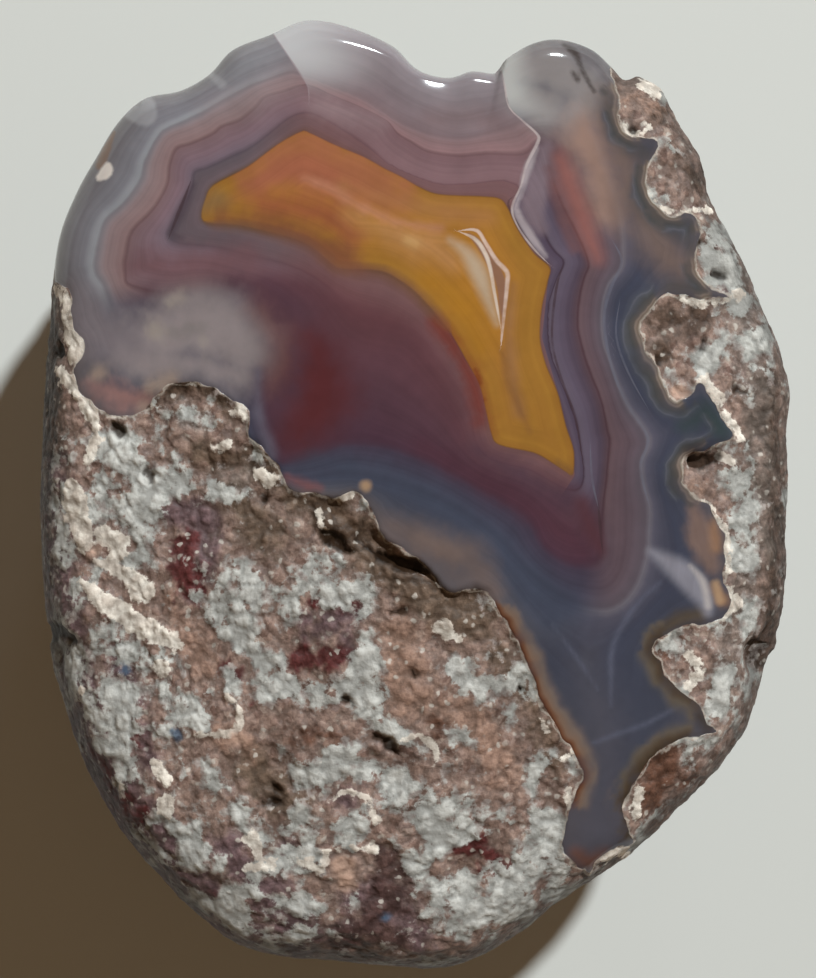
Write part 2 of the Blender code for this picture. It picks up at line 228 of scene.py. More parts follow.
RIGHT_BANDS = [
    (0.0, (84, 68, 78)), (0.45, (90, 78, 92)), (0.9, (79, 68, 82)), (1.0, (67, 54, 65)),
    (1.12, (97, 86, 99)), (1.4, (91, 80, 94)), (1.7, (80, 68, 80)), (1.92, (83, 66, 73)),
    (2.0, (77, 57, 63)), (2.08, (98, 79, 84)), (2.5, (93, 77, 84)), (2.9, (93, 83, 91)),
    (3.0, (104, 98, 106)), (3.1, (82, 79, 91)), (3.4, (65, 67, 81)), (3.8, (67, 69, 81)),
    (4.0, (82, 77, 82)),
]
BOTTOM_BANDS = [
    (0.0, (114, 72, 66)), (0.5, (106, 67, 69)), (1.0, (98, 64, 69)), (1.5, (86, 60, 69)),
    (2.0, (76, 54, 66)), (2.2, (70, 62, 76)), (3.0, (68, 71, 86)), (3.5, (80, 80, 90)),
    (4.0, (98, 90, 92)),
]

# A painted marking: its colour, how soft and how uneven its edge is in millimetres, how much it covers,
# and its strokes, each a run of x, y and half width in pixels
Paint = namedtuple("Paint", "name colour soft wobble cover strokes")

# Soft clouds in the agate, from the lowest to the topmost
AGATE_CLOUDS = [
    Paint("pale top", (138, 122, 124), 1.6, 0.4, 0.6, [[(215, 108, 8), (250, 96, 14), (290, 80, 12)]]),
    Paint("top rim", (136, 134, 138), 1.4, 0.4, 0.7, [[(225, 78, 6), (262, 56, 12), (290, 46, 8)]]),
    Paint("pale mauve", (141, 119, 122), 1.1, 0.4, 0.8, [[(318, 104, 8), (345, 112, 10), (378, 122, 8)]]),
    Paint("lobe", (136, 128, 127), 1.3, 0.4, 0.95, [
        [(520, 66, 18), (556, 70, 26), (588, 92, 20), (572, 116, 18)], [(526, 96, 18), (548, 106, 22)],
    ]),
    Paint("peach", (143, 115, 104), 1.5, 0.5, 0.95, [[(582, 130, 16), (598, 168, 18), (606, 210, 12)]]),
    Paint("upper right", (112, 94, 88), 1.5, 0.5, 0.9, [
        [(606, 100, 8), (622, 150, 14), (638, 205, 16), (668, 258, 18), (700, 268, 8)],
    ]),
    Paint("veil", (120, 103, 110), 0.5, 0.2, 0.9, [
        [(545, 150, 7), (538, 185, 13), (532, 208, 12), (540, 228, 6)],
    ]),
    Paint("by the knobs", (78, 73, 70), 0.7, 0.2, 0.7, [
        [(607, 100, 3), (611, 130, 4), (626, 148, 4), (644, 152, 6)],
        [(637, 178, 3), (638, 202, 4), (654, 224, 5), (685, 236, 6), (692, 252, 4)],
        [(704, 290, 6), (670, 286, 4)],
    ]),
    Paint("mist on the left", (121, 111, 115), 1.6, 0.5, 0.95, [[(84, 296, 12), (100, 332, 26), (140, 345, 30)]]),
    Paint("left haze", (140, 128, 128), 1.9, 0.6, 0.95, [
        [(165, 335, 24), (200, 325, 38), (240, 345, 30)], [(140, 366, 12), (190, 364, 18), (240, 376, 16)],
    ]),
    Paint("left shade", (118, 110, 108), 0.7, 0.9, 0.5, [[(172, 330, 5), (200, 328, 7)], [(208, 356, 5)]]),
    Paint("left spark", (152, 140, 131), 0.6, 0.5, 0.7, [[(172, 304, 3), (182, 298, 3)], [(203, 343, 4)], [(154, 330, 9)]]),
    Paint("left mauve", (112, 80, 84), 1.3, 0.5, 0.8, [[(142, 266, 10), (190, 264, 15), (245, 258, 15)]]),
    Paint("warm edge", (112, 78, 74), 1.6, 0.6, 0.7, [[(262, 310, 8), (284, 350, 8), (272, 385, 6)]]),
    Paint("pink strip", (148, 112, 108), 0.8, 0.5, 0.95, [[(94, 386, 8), (118, 394, 12), (142, 400, 8)]]),
    Paint("pale blobs", (154, 134, 122), 0.6, 0.3, 0.8, [[(98, 374, 8)], [(143, 408, 4)], [(152, 386, 6), (172, 380, 5)]]),
    Paint("maroon", (88, 45, 48), 1.9, 0.7, 0.95, [[(316, 348, 12), (324, 392, 28), (300, 436, 15)]]),
    Paint("lavender strip", (98, 93, 106), 0.5, 0.2, 0.8, [[(258, 372, 3), (259, 415, 5), (272, 456, 6)]]),
    Paint("dusk", (76, 57, 68), 1.4, 0.4, 0.85, [[(478, 450, 5), (520, 474, 10), (566, 500, 12)]]),
    Paint("ember edge", (112, 56, 50), 0.6, 0.4, 0.85, [[(434, 322, 4), (456, 348, 6), (472, 382, 7), (482, 420, 6)]]),
    Paint("olive", (84, 72, 60), 0.5, 0.2, 0.85, [[(660, 632, 4), (680, 619, 7), (702, 614, 6)]]),
    Paint("flow", (80, 52, 62), 1.0, 0.4, 0.8, [[(424, 446, 8), (480, 478, 10), (530, 508, 11), (584, 552, 7)]]),
    Paint("slate", (69, 73, 88), 1.2, 0.5, 0.9, [
        [(288, 472, 6), (330, 464, 9), (392, 484, 12), (440, 508, 14), (500, 555, 16), (550, 612, 20)],
    ]),
    Paint("mist", (106, 92, 90), 1.1, 0.5, 0.9, [[(388, 524, 8), (430, 542, 15), (468, 560, 18), (494, 592, 9)]]),
    Paint("mist glow", (122, 102, 94), 0.9, 0.5, 0.6, [[(420, 538, 5), (456, 556, 7)]]),
    Paint("tail", (80, 78, 87), 2.0, 0.5, 0.85, [[(585, 660, 14), (602, 740, 22), (602, 850, 28)]]),
    Paint("teal", (58, 68, 70), 0.8, 0.3, 0.95, [[(684, 428, 6), (706, 412, 9), (722, 430, 8)]]),
    Paint("window", (118, 97, 90), 0.6, 0.3, 0.95, [[(694, 512, 8), (702, 534, 14), (712, 566, 9)]]),
    Paint("window glow", (150, 112, 84), 0.5, 0.2, 0.7, [[(714, 522, 3), (717, 548, 5)], [(712, 588, 4), (722, 600, 7)]]),
    Paint("tail veils", (95, 97, 113), 0.3, 0.1, 0.75, [
        [(660, 582, 0), (634, 608, 1), (613, 645, 1.6), (611, 680, 1.4), (611, 706, 0)],
        [(552, 624, 0), (575, 655, 1), (598, 690, 0)], [(684, 702, 0), (650, 722, 1.2), (612, 736, 1), (590, 744, 0)],
    ]),
    Paint("red blot", (128, 84, 84), 0.5, 0.3, 0.8, [[(288, 478, 4), (306, 485, 4), (320, 488, 2)]]),
    Paint("top shade", (113, 93, 94), 1.2, 0.4, 0.6, [[(432, 120, 6), (478, 118, 10), (514, 132, 8)]]),
    Paint("fan", (136, 132, 141), 0.5, 0.05, 0.9, [
        [(650, 551, 2), (664, 560, 7), (680, 571, 11), (694, 584, 12), (705, 600, 8), (708, 612, 4)],
    ]),
]

# Sharper markings in the agate, each with an attribute of its own
AGATE_MARKS = [
    Paint("brown_band", (108, 78, 80), 0.4, 0.2, 0.7, [[(548, 168, 3), (556, 200, 5), (566, 230, 5), (574, 250, 3)]]),
    Paint("red_streak", (144, 92, 85), 0.9, 0.3, 0.8, [[(560, 158, 6), (574, 196, 9), (588, 234, 8), (598, 258, 4)]]),
    Paint("ribbon", (160, 147, 150), 0.22, 0.16, 0.9, [
        [(537, 148, 1.5), (527, 170, 4), (522, 192, 2), (516, 208, 3), (528, 232, 4), (546, 256, 2)],
    ]),
    Paint("wedge", (86, 54, 60), 0.6, 0.2, 0.75, [[(582, 505, 7), (592, 530, 8), (602, 552, 3)]]),
    Paint("left_notch", (80, 68, 76), 0.3, 0.1, 0.75, [[(194, 184, 2), (184, 206, 5), (172, 232, 4), (182, 238, 2)]]),
    Paint("rim_patch", (122, 94, 78), 0.15, 0.2, 0.9, [[(114, 132, 2), (107, 148, 4), (99, 166, 4)]]),
    # A painted highlight on the upper left rim
    Paint("painted_rim_highlight", (216, 204, 196), 0.14, 0.2, 0.95, [[(108, 166, 3), (106, 172, 6), (98, 178, 3)]]),
    # Painted sheen: pale streaks on facets of the upper left rim
    Paint("painted_rim_sheen", (150, 147, 150), 0.22, 0.1, 0.75, [[(210, 74, 3), (222, 84, 4)], [(132, 112, 8), (146, 116, 10), (148, 106, 8)]]),
    Paint("honey", (170, 138, 110), 0.3, 0.2, 0.9, [[(366, 486, 6)], [(716, 584, 4), (720, 600, 4)]]),
    # A painted highlight along the upper edge of the fan
    Paint("fan_edge_highlight", (184, 174, 170), 0.3, 0.1, 0.8, [[(690, 566, 1), (703, 582, 3), (708, 606, 3)]]),
    Paint("bay", (62, 54, 48), 0.5, 0.2, 0.85, [[(700, 716, 5), (708, 727, 5)]]),
    Paint("inclusion", (66, 58, 56), 0.2, 0.3, 0.85, [
        [(564, 45, 1.5), (576, 54, 2), (584, 74, 2.5), (594, 92, 1)], [(572, 72, 2), (578, 80, 3)],
    ]),
    Paint("tip_rust", (106, 70, 58), 0.7, 0.3, 0.85, [[(576, 854, 5), (590, 862, 8), (604, 852, 3)]]),
]

# Fine lines in the agate, each a run of x, y and half width; their colour and greatest cover are given where they are
# laid
PALE_LINES = [
    [(590, 440, 0), (592, 478, 1), (598, 506, 0.3)],
    [(612, 240, 0), (622, 262, 1.2), (611, 288, 1.2), (604, 320, 1.2), (612, 368, 1.2), (628, 405, 1.2),
     (648, 438, 1.4), (641, 462, 1.2), (643, 482, 1.2), (652, 515, 0)],
    [(620, 300, 0), (616, 335, 0.8), (628, 372, 0.8), (650, 412, 0)],
]
DARK_LINES = [
    [(598, 500, 0), (600, 525, 1.4), (603, 556, 0)],
    [(564, 262, 0), (556, 290, 1.2), (552, 340, 1), (562, 380, 1), (576, 420, 1), (584, 470, 0)],
    [(514, 196, 0), (508, 205, 1), (522, 232, 1.4), (538, 254, 1.2), (550, 266, 0)],
    [(192, 178, 0), (186, 194, 1), (178, 214, 1.6), (168, 240, 0)],
]
KNOB_ZONE = [
    [(613, 98, 8), (614, 130, 9), (634, 146, 10)], [(642, 170, 7), (646, 205, 11), (684, 230, 12)],
    [(693, 262, 7), (702, 290, 8)], [(640, 300, 18), (636, 340, 22), (654, 380, 20), (668, 412, 18)],
    [(690, 425, 16), (676, 470, 16), (690, 492, 12)],
]
TAIL_ZONE = [[(506, 620, 16), (528, 660, 24), (552, 704, 26), (588, 752, 26), (588, 800, 14)]]
OLIVE_ZONE = [[(650, 640, 16), (655, 672, 16), (682, 705, 16), (668, 738, 16), (634, 772, 16), (632, 820, 12)]]
CALM_ZONE = [
    [(150, 340, 40), (240, 330, 50), (320, 400, 50)], [(600, 720, 50), (600, 850, 50)], [(440, 560, 40)],
    [(560, 80, 30), (640, 200, 30)], [(110, 380, 30)],
]

CORE_CLOUDS = [
    Paint("mustard", (128, 98, 66), 1.0, 0.3, 0.9, [[(204, 206, 8), (218, 200, 10)]]),
    Paint("ember", (155, 93, 72), 1.3, 0.5, 0.95, [[(250, 184, 12), (300, 166, 24), (350, 184, 22), (400, 200, 12)]]),
    Paint("upper rim", (154, 97, 70), 0.8, 0.4, 0.85, [[(262, 160, 6), (305, 142, 10), (352, 164, 11), (404, 186, 8)]]),
    Paint("rust", (144, 83, 60), 1.2, 0.4, 0.9, [[(262, 206, 8), (318, 212, 14), (352, 234, 10)]]),
    Paint("russet", (122, 76, 57), 1.0, 0.4, 0.9, [[(222, 218, 5), (285, 230, 10), (330, 250, 13), (362, 272, 8)]]),
    Paint("apricot", (172, 124, 82), 1.3, 0.4, 0.9, [[(350, 214, 3), (385, 230, 9), (430, 246, 12), (452, 262, 6)]]),
    Paint("streak", (176, 122, 98), 0.45, 0.2, 0.75, [
        [(305, 178, 2), (335, 190, 4), (350, 200, 3), (372, 211, 5), (396, 222, 3), (440, 228, 2)],
    ]),
    Paint("spark", (186, 148, 100), 0.5, 0.2, 0.8, [[(408, 240, 3), (416, 243, 3)]]),
    Paint("upper tan", (160, 111, 72), 1.1, 0.3, 0.85, [[(345, 186, 3), (400, 202, 6), (450, 212, 8), (488, 216, 6)]]),
    Paint("gold", (166, 114, 44), 1.2, 0.4, 0.9, [[(430, 282, 8), (462, 306, 12), (480, 345, 9)]]),
    Paint("arm", (150, 106, 50), 1.0, 0.3, 0.8, [[(524, 250, 8), (528, 320, 10), (526, 380, 12), (530, 430, 12)]]),
    Paint("tan arm", (146, 104, 70), 0.6, 0.2, 0.85, [[(513, 285, 2), (509, 330, 4), (512, 372, 6), (520, 412, 5)]]),
    Paint("burnt edge", (136, 80, 46), 0.8, 0.5, 0.8, [[(440, 318, 4), (462, 346, 5), (478, 384, 6), (490, 430, 4)]]),
    Paint("tip", (112, 80, 52), 0.5, 0.2, 0.8, [[(558, 464, 4), (572, 474, 5)]]),
]
CORE_MARKS = [
    Paint("white_zone", (180, 158, 136), 0.55, 0.1, 0.9, [
        [(450, 240, 1), (466, 252, 5), (476, 268, 8), (483, 284, 7), (490, 304, 4), (497, 324, 1)],
    ]),
    Paint("sliver", (134, 98, 82), 0.12, 0.05, 0.9, [
        [(468, 233, 1), (481, 246, 4), (494, 266, 5), (501, 284, 5), (502, 306, 3), (502, 330, 0)],
    ]),
    Paint("stripe", (124, 84, 54), 0.35, 0.1, 0.6, [[(503, 352, 2), (508, 382, 3), (517, 402, 3), (530, 432, 2)]]),
    Paint("embers", (112, 50, 34), 0.2, 0.4, 0.7, [[(438, 326, 1), (444, 336, 2)], [(476, 370, 2), (480, 384, 2)], [(484, 400, 1.5)]]),
]
GROWTH_LINES = [
    [(457, 231, 0), (476, 230, 1.4), (485, 242, 1.6), (496, 260, 1.8), (507, 272, 2.0), (507, 285, 1.8),
     (505, 306, 1.5), (502, 334, 1.0), (501, 348, 0)],
    [(457, 231, 0), (475, 239, 1.6), (486, 255, 1.8), (491, 272, 1.6), (494, 290, 1.4), (498, 312, 1.0), (501, 330, 0)],
]
SOFT_CORE_EDGE = [(215, 228, 8), (256, 232, 14), (310, 250, 16), (345, 272, 18), (400, 284, 20), (440, 318, 14)]
CRISP, SOFT = 0.07, 1.0  # half widths of the core's edge, in millimetres

# Rock: where the pale coating lies thick, where it is missing, and the other minerals
PALE_PATCHES = [
    [(128, 452, 14), (132, 500, 28), (138, 548, 16)], [(184, 408, 5)], [(240, 496, 8), (205, 490, 10)],
    [(215, 596, 18), (226, 616, 20), (242, 640, 14), (276, 664, 14)], [(240, 570, 12), (262, 596, 12), (290, 610, 12)],
    [(310, 576, 16), (338, 584, 24), (372, 590, 10)], [(270, 684, 15), (330, 688, 15)], [(346, 676, 10), (372, 694, 16)], [(118, 652, 12), (128, 630, 8)],
    [(226, 680, 10), (215, 700, 8)], [(98, 700, 24), (118, 712, 24)], [(322, 762, 10), (372, 766, 9)], [(300, 782, 13), (306, 812, 10), (296, 836, 20)],
    [(440, 812, 13), (462, 834, 12)], [(480, 740, 10)], [(540, 762, 11)],
    [(552, 824, 18), (548, 860, 22)], [(350, 830, 12)], [(446, 918, 9)],
    [(712, 350, 8), (706, 370, 6)], [(738, 332, 9), (756, 338, 8)], [(724, 306, 7), (744, 302, 6)], [(722, 470, 8), (748, 478, 10)],
    [(740, 510, 12), (752, 530, 9)], [(738, 556, 10)], [(728, 662, 6), (720, 690, 8)], [(702, 600, 3), (748, 612, 14)],
    [(656, 192, 8), (674, 176, 6), (664, 204, 7)], [(712, 232, 8), (712, 266, 14), (722, 280, 8)],
    [(470, 684, 12), (505, 672, 16), (480, 694, 8)], [(462, 660, 10)], [(390, 700, 10), (396, 742, 10)],
    [(480, 880, 16), (525, 872, 14)],
    [(460, 915, 16), (520, 905, 12)], [(350, 838, 12)], [(160, 520, 12), (156, 480, 10)], [(160, 690, 8), (192, 722, 12)],
    [(392, 786, 8), (420, 792, 8)], [(250, 520, 6)], [(90, 640, 10), (72, 700, 8)],
    [(234, 812, 10), (240, 828, 8)], [(186, 846, 8), (198, 866, 6)], [(256, 846, 10), (288, 842, 12)],
    [(246, 868, 8), (300, 866, 10)], [(232, 897, 12)], [(560, 895, 10)], [(300, 934, 9)], [(222, 900, 7), (232, 912, 6)], [(366, 604, 12)], [(368, 664, 14)],
    [(100, 482, 10)], [(182, 490, 11)], [(120, 772, 9)], [(428, 798, 12), (436, 840, 14)], [(724, 598, 9)], [(716, 704, 11)],
    [(60, 530, 6)], [(62, 640, 6), (66, 670, 6)],
    [(140, 838, 4), (160, 866, 4), (190, 894, 4), (216, 922, 4), (262, 940, 4)], [(150, 818, 4), (170, 800, 5)],
    [(174, 826, 4), (214, 858, 4), (238, 884, 4), (274, 900, 5), (322, 908, 4)], [(262, 918, 4), (300, 914, 4)],
    [(410, 862, 4), (432, 884, 5), (440, 900, 4)], [(112, 742, 4), (130, 768, 4), (146, 790, 4)],
]
BARE_PATCHES = [
    [(180, 388, 14), (220, 402, 16), (232, 440, 14)], [(190, 436, 14), (210, 455, 14)], [(344, 640, 9)], [(300, 536, 14)], [(300, 728, 14), (352, 728, 10)], [(246, 668, 10)], [(484, 778, 14)], [(745, 420, 14)],
    [(656, 120, 12)], [(664, 180, 10)], [(660, 352, 14)], [(240, 480, 16), (280, 520, 22), (330, 520, 22)],
    [(360, 540, 16), (400, 590, 26), (440, 620, 26), (490, 630, 22)], [(400, 640, 20), (410, 700, 22)],
    [(176, 520, 12), (186, 560, 16), (192, 600, 14)], [(225, 712, 12), (240, 745, 20), (270, 790, 26)], [(310, 650, 22)],
    [(470, 715, 12), (510, 760, 22), (540, 720, 14)], [(205, 660, 12)], [(215, 560, 8), (210, 520, 14)],
    [(670, 320, 22), (700, 320, 14)], [(680, 388, 9)], [(770, 400, 14), (772, 560, 10), (768, 640, 10)],
    [(660, 780, 24)], [(690, 470, 14)], [(640, 110, 14)], [(700, 150, 14), (700, 190, 10)], [(384, 870, 22), (384, 930, 26), (350, 925, 14)], [(345, 800, 14)], [(722, 655, 12), (700, 660, 12)],
    [(50, 330, 6), (48, 420, 10)], [(318, 656, 22)],
    [(222, 838, 12)], [(233, 872, 5)], [(270, 890, 6)], [(165, 878, 8)],
    [(120, 810, 16)], [(490, 862, 18)], [(90, 770, 10)], [(464, 758, 12)], [(126, 808, 14)], [(343, 874, 12)],
]
ROCK_CLOUDS = [
    Paint("brown", (106, 88, 74), 0.8, 1.0, 0.85, [
        [(168, 390, 8), (190, 382, 9), (225, 405, 8)], [(200, 455, 12), (262, 466, 14), (330, 515, 24), (400, 580, 20), (468, 616, 28)],
        [(230, 490, 14), (260, 530, 22)], [(250, 765, 18), (285, 800, 20)], [(500, 650, 14), (540, 720, 10), (562, 765, 10)],
    ]),
    # Partly painted shade: the strokes in the crevice, along the contact on the left and down the left rim; the others
    # are the rock's own dark brown
    Paint("dark brown", (74, 58, 48), 0.7, 1.0, 0.85, [
        [(310, 512, 8), (340, 530, 14), (366, 548, 10), (400, 566, 8), (436, 586, 8)], [(212, 458, 5), (240, 452, 5), (264, 472, 5)],
        [(156, 404, 6), (172, 388, 7), (204, 386, 6), (230, 402, 5)], [(48, 318, 5), (47, 400, 9), (48, 480, 7), (48, 570, 5)], [(118, 424, 4)],
        [(662, 318, 14), (700, 316, 14)], [(662, 352, 12)], [(752, 428, 11)], [(656, 116, 8)], [(740, 390, 8)], [(772, 380, 8), (776, 480, 8), (774, 600, 8), (764, 660, 8)],
        [(680, 155, 8), (700, 180, 8)], [(640, 128, 5)], [(275, 800, 6)],
    ]),
    Paint("grey", (120, 109, 102), 0.9, 1.0, 0.6, [
        [(190, 414, 16)], [(234, 478, 14)], [(112, 424, 8)],
        [(724, 240, 12), (750, 330, 16), (758, 420, 14), (756, 520, 16), (742, 610, 16), (726, 700, 14)],
    ]),
    Paint("salmon", (156, 124, 108), 0.9, 1.0, 0.85, [
        [(398, 630, 18), (408, 690, 22)], [(455, 705, 14), (505, 770, 18)], [(216, 735, 10), (240, 742, 12)],
        [(205, 664, 12), (170, 600, 8)], [(630, 96, 8), (652, 100, 6)], [(686, 478, 8), (694, 490, 6)],
    ]),
    Paint("plum", (104, 82, 86), 0.9, 1.0, 0.85, [
        [(344, 640, 14), (356, 660, 8)], [(346, 800, 12)], [(352, 900, 16), (400, 900, 14), (340, 940, 14)],
        [(56, 470, 10), (60, 560, 14), (68, 650, 18), (92, 740, 24), (142, 826, 24), (206, 896, 20)],
        [(150, 760, 12), (120, 700, 10)], [(226, 846, 14), (256, 886, 18), (310, 932, 16)], [(290, 850, 10)],
        [(176, 510, 18), (204, 530, 16), (190, 600, 8)], [(318, 628, 18), (350, 625, 10)], [(300, 940, 16), (240, 930, 10)], [(330, 620, 18), (352, 612, 12)],
        [(420, 940, 16), (360, 895, 10)], [(110, 655, 12), (140, 700, 10)], [(715, 260, 6), (730, 300, 6)],
    ]),
    Paint("dusk", (80, 59, 56), 0.6, 1.2, 0.9, [
        [(386, 858, 14), (394, 892, 16), (368, 926, 18), (398, 944, 12), (344, 944, 10)], [(124, 806, 10)],
    ]),
    Paint("maroon", (92, 46, 46), 0.4, 1.2, 0.95, [
        [(184, 540, 10), (184, 575, 15), (196, 602, 8)], [(292, 664, 9), (314, 658, 13), (338, 652, 12), (330, 668, 9)],
        [(318, 606, 5), (350, 604, 4)], [(456, 850, 11), (482, 852, 13), (502, 874, 13)],
        [(108, 792, 9), (122, 808, 12), (134, 822, 10)], [(92, 758, 9), (104, 775, 6)], [(134, 744, 5)],
        [(214, 905, 4), (222, 925, 5)], [(228, 664, 4), (250, 690, 4)],
    ]),
    Paint("rust", (98, 66, 52), 0.5, 1.0, 0.9, [
        [(664, 762, 16), (652, 802, 14)], [(690, 780, 8)], [(640, 644, 8), (672, 646, 10)], [(600, 866, 6)],
        [(438, 728, 6)], [(288, 738, 5), (340, 735, 5)],
    ]),
]
CREAM = [
    [(58, 290, 5), (64, 304, 6), (68, 318, 7), (70, 335, 9), (77, 350, 11), (72, 360, 7)],
    [(60, 370, 6), (72, 386, 8), (88, 404, 10), (96, 424, 7)],
    [(97, 440, 6), (88, 462, 4)], [(72, 490, 10), (76, 512, 14), (84, 545, 9)], [(100, 532, 8), (120, 545, 10), (112, 560, 7)],
    [(92, 560, 4), (120, 572, 8), (140, 590, 14)], [(80, 580, 4), (112, 608, 9), (144, 630, 13), (170, 642, 9)], [(160, 668, 9)],
    [(156, 766, 6), (168, 780, 5)], [(164, 806, 10)], [(196, 735, 2), (236, 732, 2), (238, 706, 2), (226, 698, 2)], [(240, 408, 7), (246, 416, 4)],
    [(214, 448, 3), (228, 443, 5)], [(260, 474, 5), (270, 480, 6)], [(338, 494, 6), (350, 493, 5)],
    [(318, 512, 3), (324, 530, 3)], [(444, 628, 8), (456, 638, 6)], [(252, 840, 6), (258, 856, 6)], [(246, 868, 5), (270, 866, 6)], [(300, 862, 4), (322, 868, 4), (328, 852, 2.5), (350, 850, 2.5), (376, 852, 3)],
    [(706, 502, 2), (716, 513, 2.5), (724, 532, 3), (728, 552, 3), (727, 572, 3)], [(728, 588, 4), (736, 602, 6), (728, 614, 5)],
    [(680, 299, 2), (702, 302, 2.5), (724, 302, 3), (742, 290, 5)], [(698, 382, 3), (706, 380, 4), (714, 394, 4), (722, 406, 3)],
    [(726, 412, 4), (736, 424, 4), (741, 440, 4)], [(722, 456, 3), (736, 466, 3)],
    [(622, 118, 1.5), (627, 131, 2.5), (640, 132, 2.5), (652, 126, 3)], [(656, 200, 3), (672, 211, 3), (692, 209, 3), (710, 208, 3)],
    [(640, 82, 3), (656, 90, 4)], [(606, 860, 5), (624, 851, 5)], [(640, 790, 3), (636, 820, 3)],
    [(690, 690, 3), (700, 670, 4), (690, 656, 3)],
    # The stroke at 112, 165 is a painted highlight on the upper left rim; the rest are cream crust
    [(120, 786, 3)], [(80, 690, 3)], [(112, 165, 5), (104, 176, 4)], [(570, 790, 3), (568, 812, 3)],
    [(402, 742, 2), (420, 736, 2), (436, 750, 2), (434, 768, 2)], [(332, 800, 2), (346, 792, 2), (366, 800, 2), (376, 822, 2)],
    [(538, 712, 2), (546, 730, 3)], [(580, 748, 0), (562, 758, 1.5)],
]
# Hollows in the rock: set into the relief, and painted near black as shade
HOLLOWS = [
    [(324, 536, 6), (338, 546, 8), (350, 552, 4)], [(356, 540, 4), (372, 552, 4), (396, 562, 5), (432, 573, 5)],
    [(52, 632, 8), (64, 640, 6)], [(700, 460, 8), (716, 458, 6)],
    [(716, 272, 4), (728, 276, 3)], [(706, 338, 3), (702, 350, 3)], [(390, 614, 3), (404, 612, 3)],
    [(415, 676, 5)], [(634, 128, 5)], [(738, 388, 5)], [(376, 738, 5), (396, 752, 4)], [(120, 432, 5), (112, 424, 4)],
    [(56, 350, 6)], [(145, 470, 4), (150, 482, 3)], [(262, 500, 5)], [(270, 786, 4), (284, 800, 3), (262, 806, 3)],
    [(346, 700, 4), (356, 708, 3)], [(520, 690, 3)], [(664, 270, 3), (700, 240, 3)], [(659, 361, 4)],
]
STAINS = [
    Paint("tan stain", (186, 152, 134), 0.3, 0.4, 0.95, [[(343, 868, 12), (346, 884, 11)], [(92, 552, 6)], [(682, 390, 9)], [(236, 740, 7)]]),
    Paint("blue specks", (70, 92, 114), 0.2, 0.6, 0.8, [[(172, 732, 3), (178, 736, 3)], [(120, 664, 3), (126, 672, 2)], [(385, 920, 3)]]),
]

LEFT_LINE = [(x, y, width) for (x, y), width in zip(LEFT_CRACK, (0, 0.6, 0.6, 0.8, 0.6, 0))]
RIGHT_LINE = [
    (501, 66, 0), (505, 87, 0.9), (509, 107, 0.5), (523, 121, 0.8), (537, 134, 1.0), (538, 142, 1.5), (527, 164, 1.1),
    (521, 186, 0.8), (512, 208, 1.1), (518, 227, 0.7), (534, 249, 0.9), (551, 266, 0),
]
LINES = {
    "pale_lines": PALE_LINES, "dark_lines": DARK_LINES, "growth_line": GROWTH_LINES[:1], "inner_line": GROWTH_LINES[1:],
    "left_line": [LEFT_LINE], "right_line": [RIGHT_LINE],
}
THINNEST = 0.008  # half width of a fine line at its very end, in millimetres
FARTHEST = 60.0  # no distance counts beyond this
BAND_DRIFT = 0.2
CORE_RAMP = [
    (0.0, (112, 78, 44)), (0.12, (142, 98, 48)), (0.6, (153, 108, 50)), (1.6, (156, 108, 52)),
    (2.6, (160, 109, 50)), (4.0, (164, 112, 48)),
]

# Colours that follow the contact into the agate, by the zone where they show, in millimetres from it
HALOS = {
    "knob_zone": [
        (0.0, (150, 138, 126)), (0.12, (106, 92, 82)), (0.26, (120, 106, 98)), (0.4, (84, 77, 74)),
        (0.75, (72, 71, 72)), (1.0, (80, 80, 85)), (1.1, (92, 92, 100)), (1.22, (76, 77, 86)), (2.0, (74, 75, 84)),
    ],
    "tail_zone": [
        (0.0, (84, 50, 38)), (0.2, (112, 76, 58)), (0.5, (122, 98, 84)), (0.9, (114, 99, 92)), (1.3, (98, 88, 89)),
        (2.0, (84, 80, 87)),
    ],
    "olive_zone": [
        (0.0, (64, 52, 42)), (0.4, (82, 69, 58)), (0.8, (95, 85, 76)), (1.2, (87, 82, 82)), (2.0, (78, 77, 84)),
    ],
}

# Rock: tones of its grains, and how the coating and the other forms are spread
ROCK_BASE = (146, 122, 111)
GRAIN_TONES = [
    (0.0, (104, 78, 70)), (0.25, (130, 106, 96)), (0.5, (150, 124, 112)), (0.75, (138, 118, 112)), (1.0, (168, 148, 136)),
]
COAT_TONES = [(0.0, (148, 134, 128)), (0.3, (163, 154, 148)), (0.6, (175, 173, 167)), (1.0, (194, 191, 185))]
PATCH_EDGE = (-1.0, 0.6)
COAT_ROUGH, COAT_BIAS, COAT_SWING = 0.32, -0.14, 0.62
CREAM_WAVER = 0.12
CREAM_EDGE = (-0.45, 0.4)
HOLLOW_EDGE = (-0.3, 0.3)
GRAIN_START = 0.35  # the grains reach their full height this far inside the contact
WORN_SHARE = 0.85  # how much of them is worn off round the flat spot
EDGE_WORN = 0.5  # and off round the outline, which was ground
EDGE_WORN_REACH = (1.5, 5.0)
BUMP_HEIGHT = 0.11

# How far from a contact a material that stands alone begins
EDGE_REACH = 0.2
RIND_REACH = 0.9
BLOCK_REACH = 3.2

# How the stone takes light
GAIN = 0.92  # how bright a white surface comes out
SHEEN_LOSS = 0.006  # what the polish adds to every colour
POLISH = 0.09
ROCK_ROUGHNESS = 0.6
TRANSLUCENCY = 0.1
GLOW_REACH = (0.9, 0.5, 0.4)  # millimetres that red, green and blue light spread inside

FLOOR_COLOUR = (213, 212, 207)
FLOOR_SIZE = 3.0
# Each lamp: degrees round from +X, degrees up, metres off and across, watts, and which light it gives
LAMPS = {
    "key": (57, 46, 1.5, 0.08, 25.4, "diffuse"),
    "glint": (77, 26, 1.5, 0.17, 15.0, "glossy"),
}
KEY_COLOUR = (0.89, 0.97, 1.0)
FILL_COLOUR = (1.0, 0.69, 0.405, 1.0)
FILL_STRENGTH = 0.13
CAMERA_HEIGHT = 160.0  # over the plane of the widest outline
CAMERA_AXIS = (408, 489)
SENSOR = 36.0


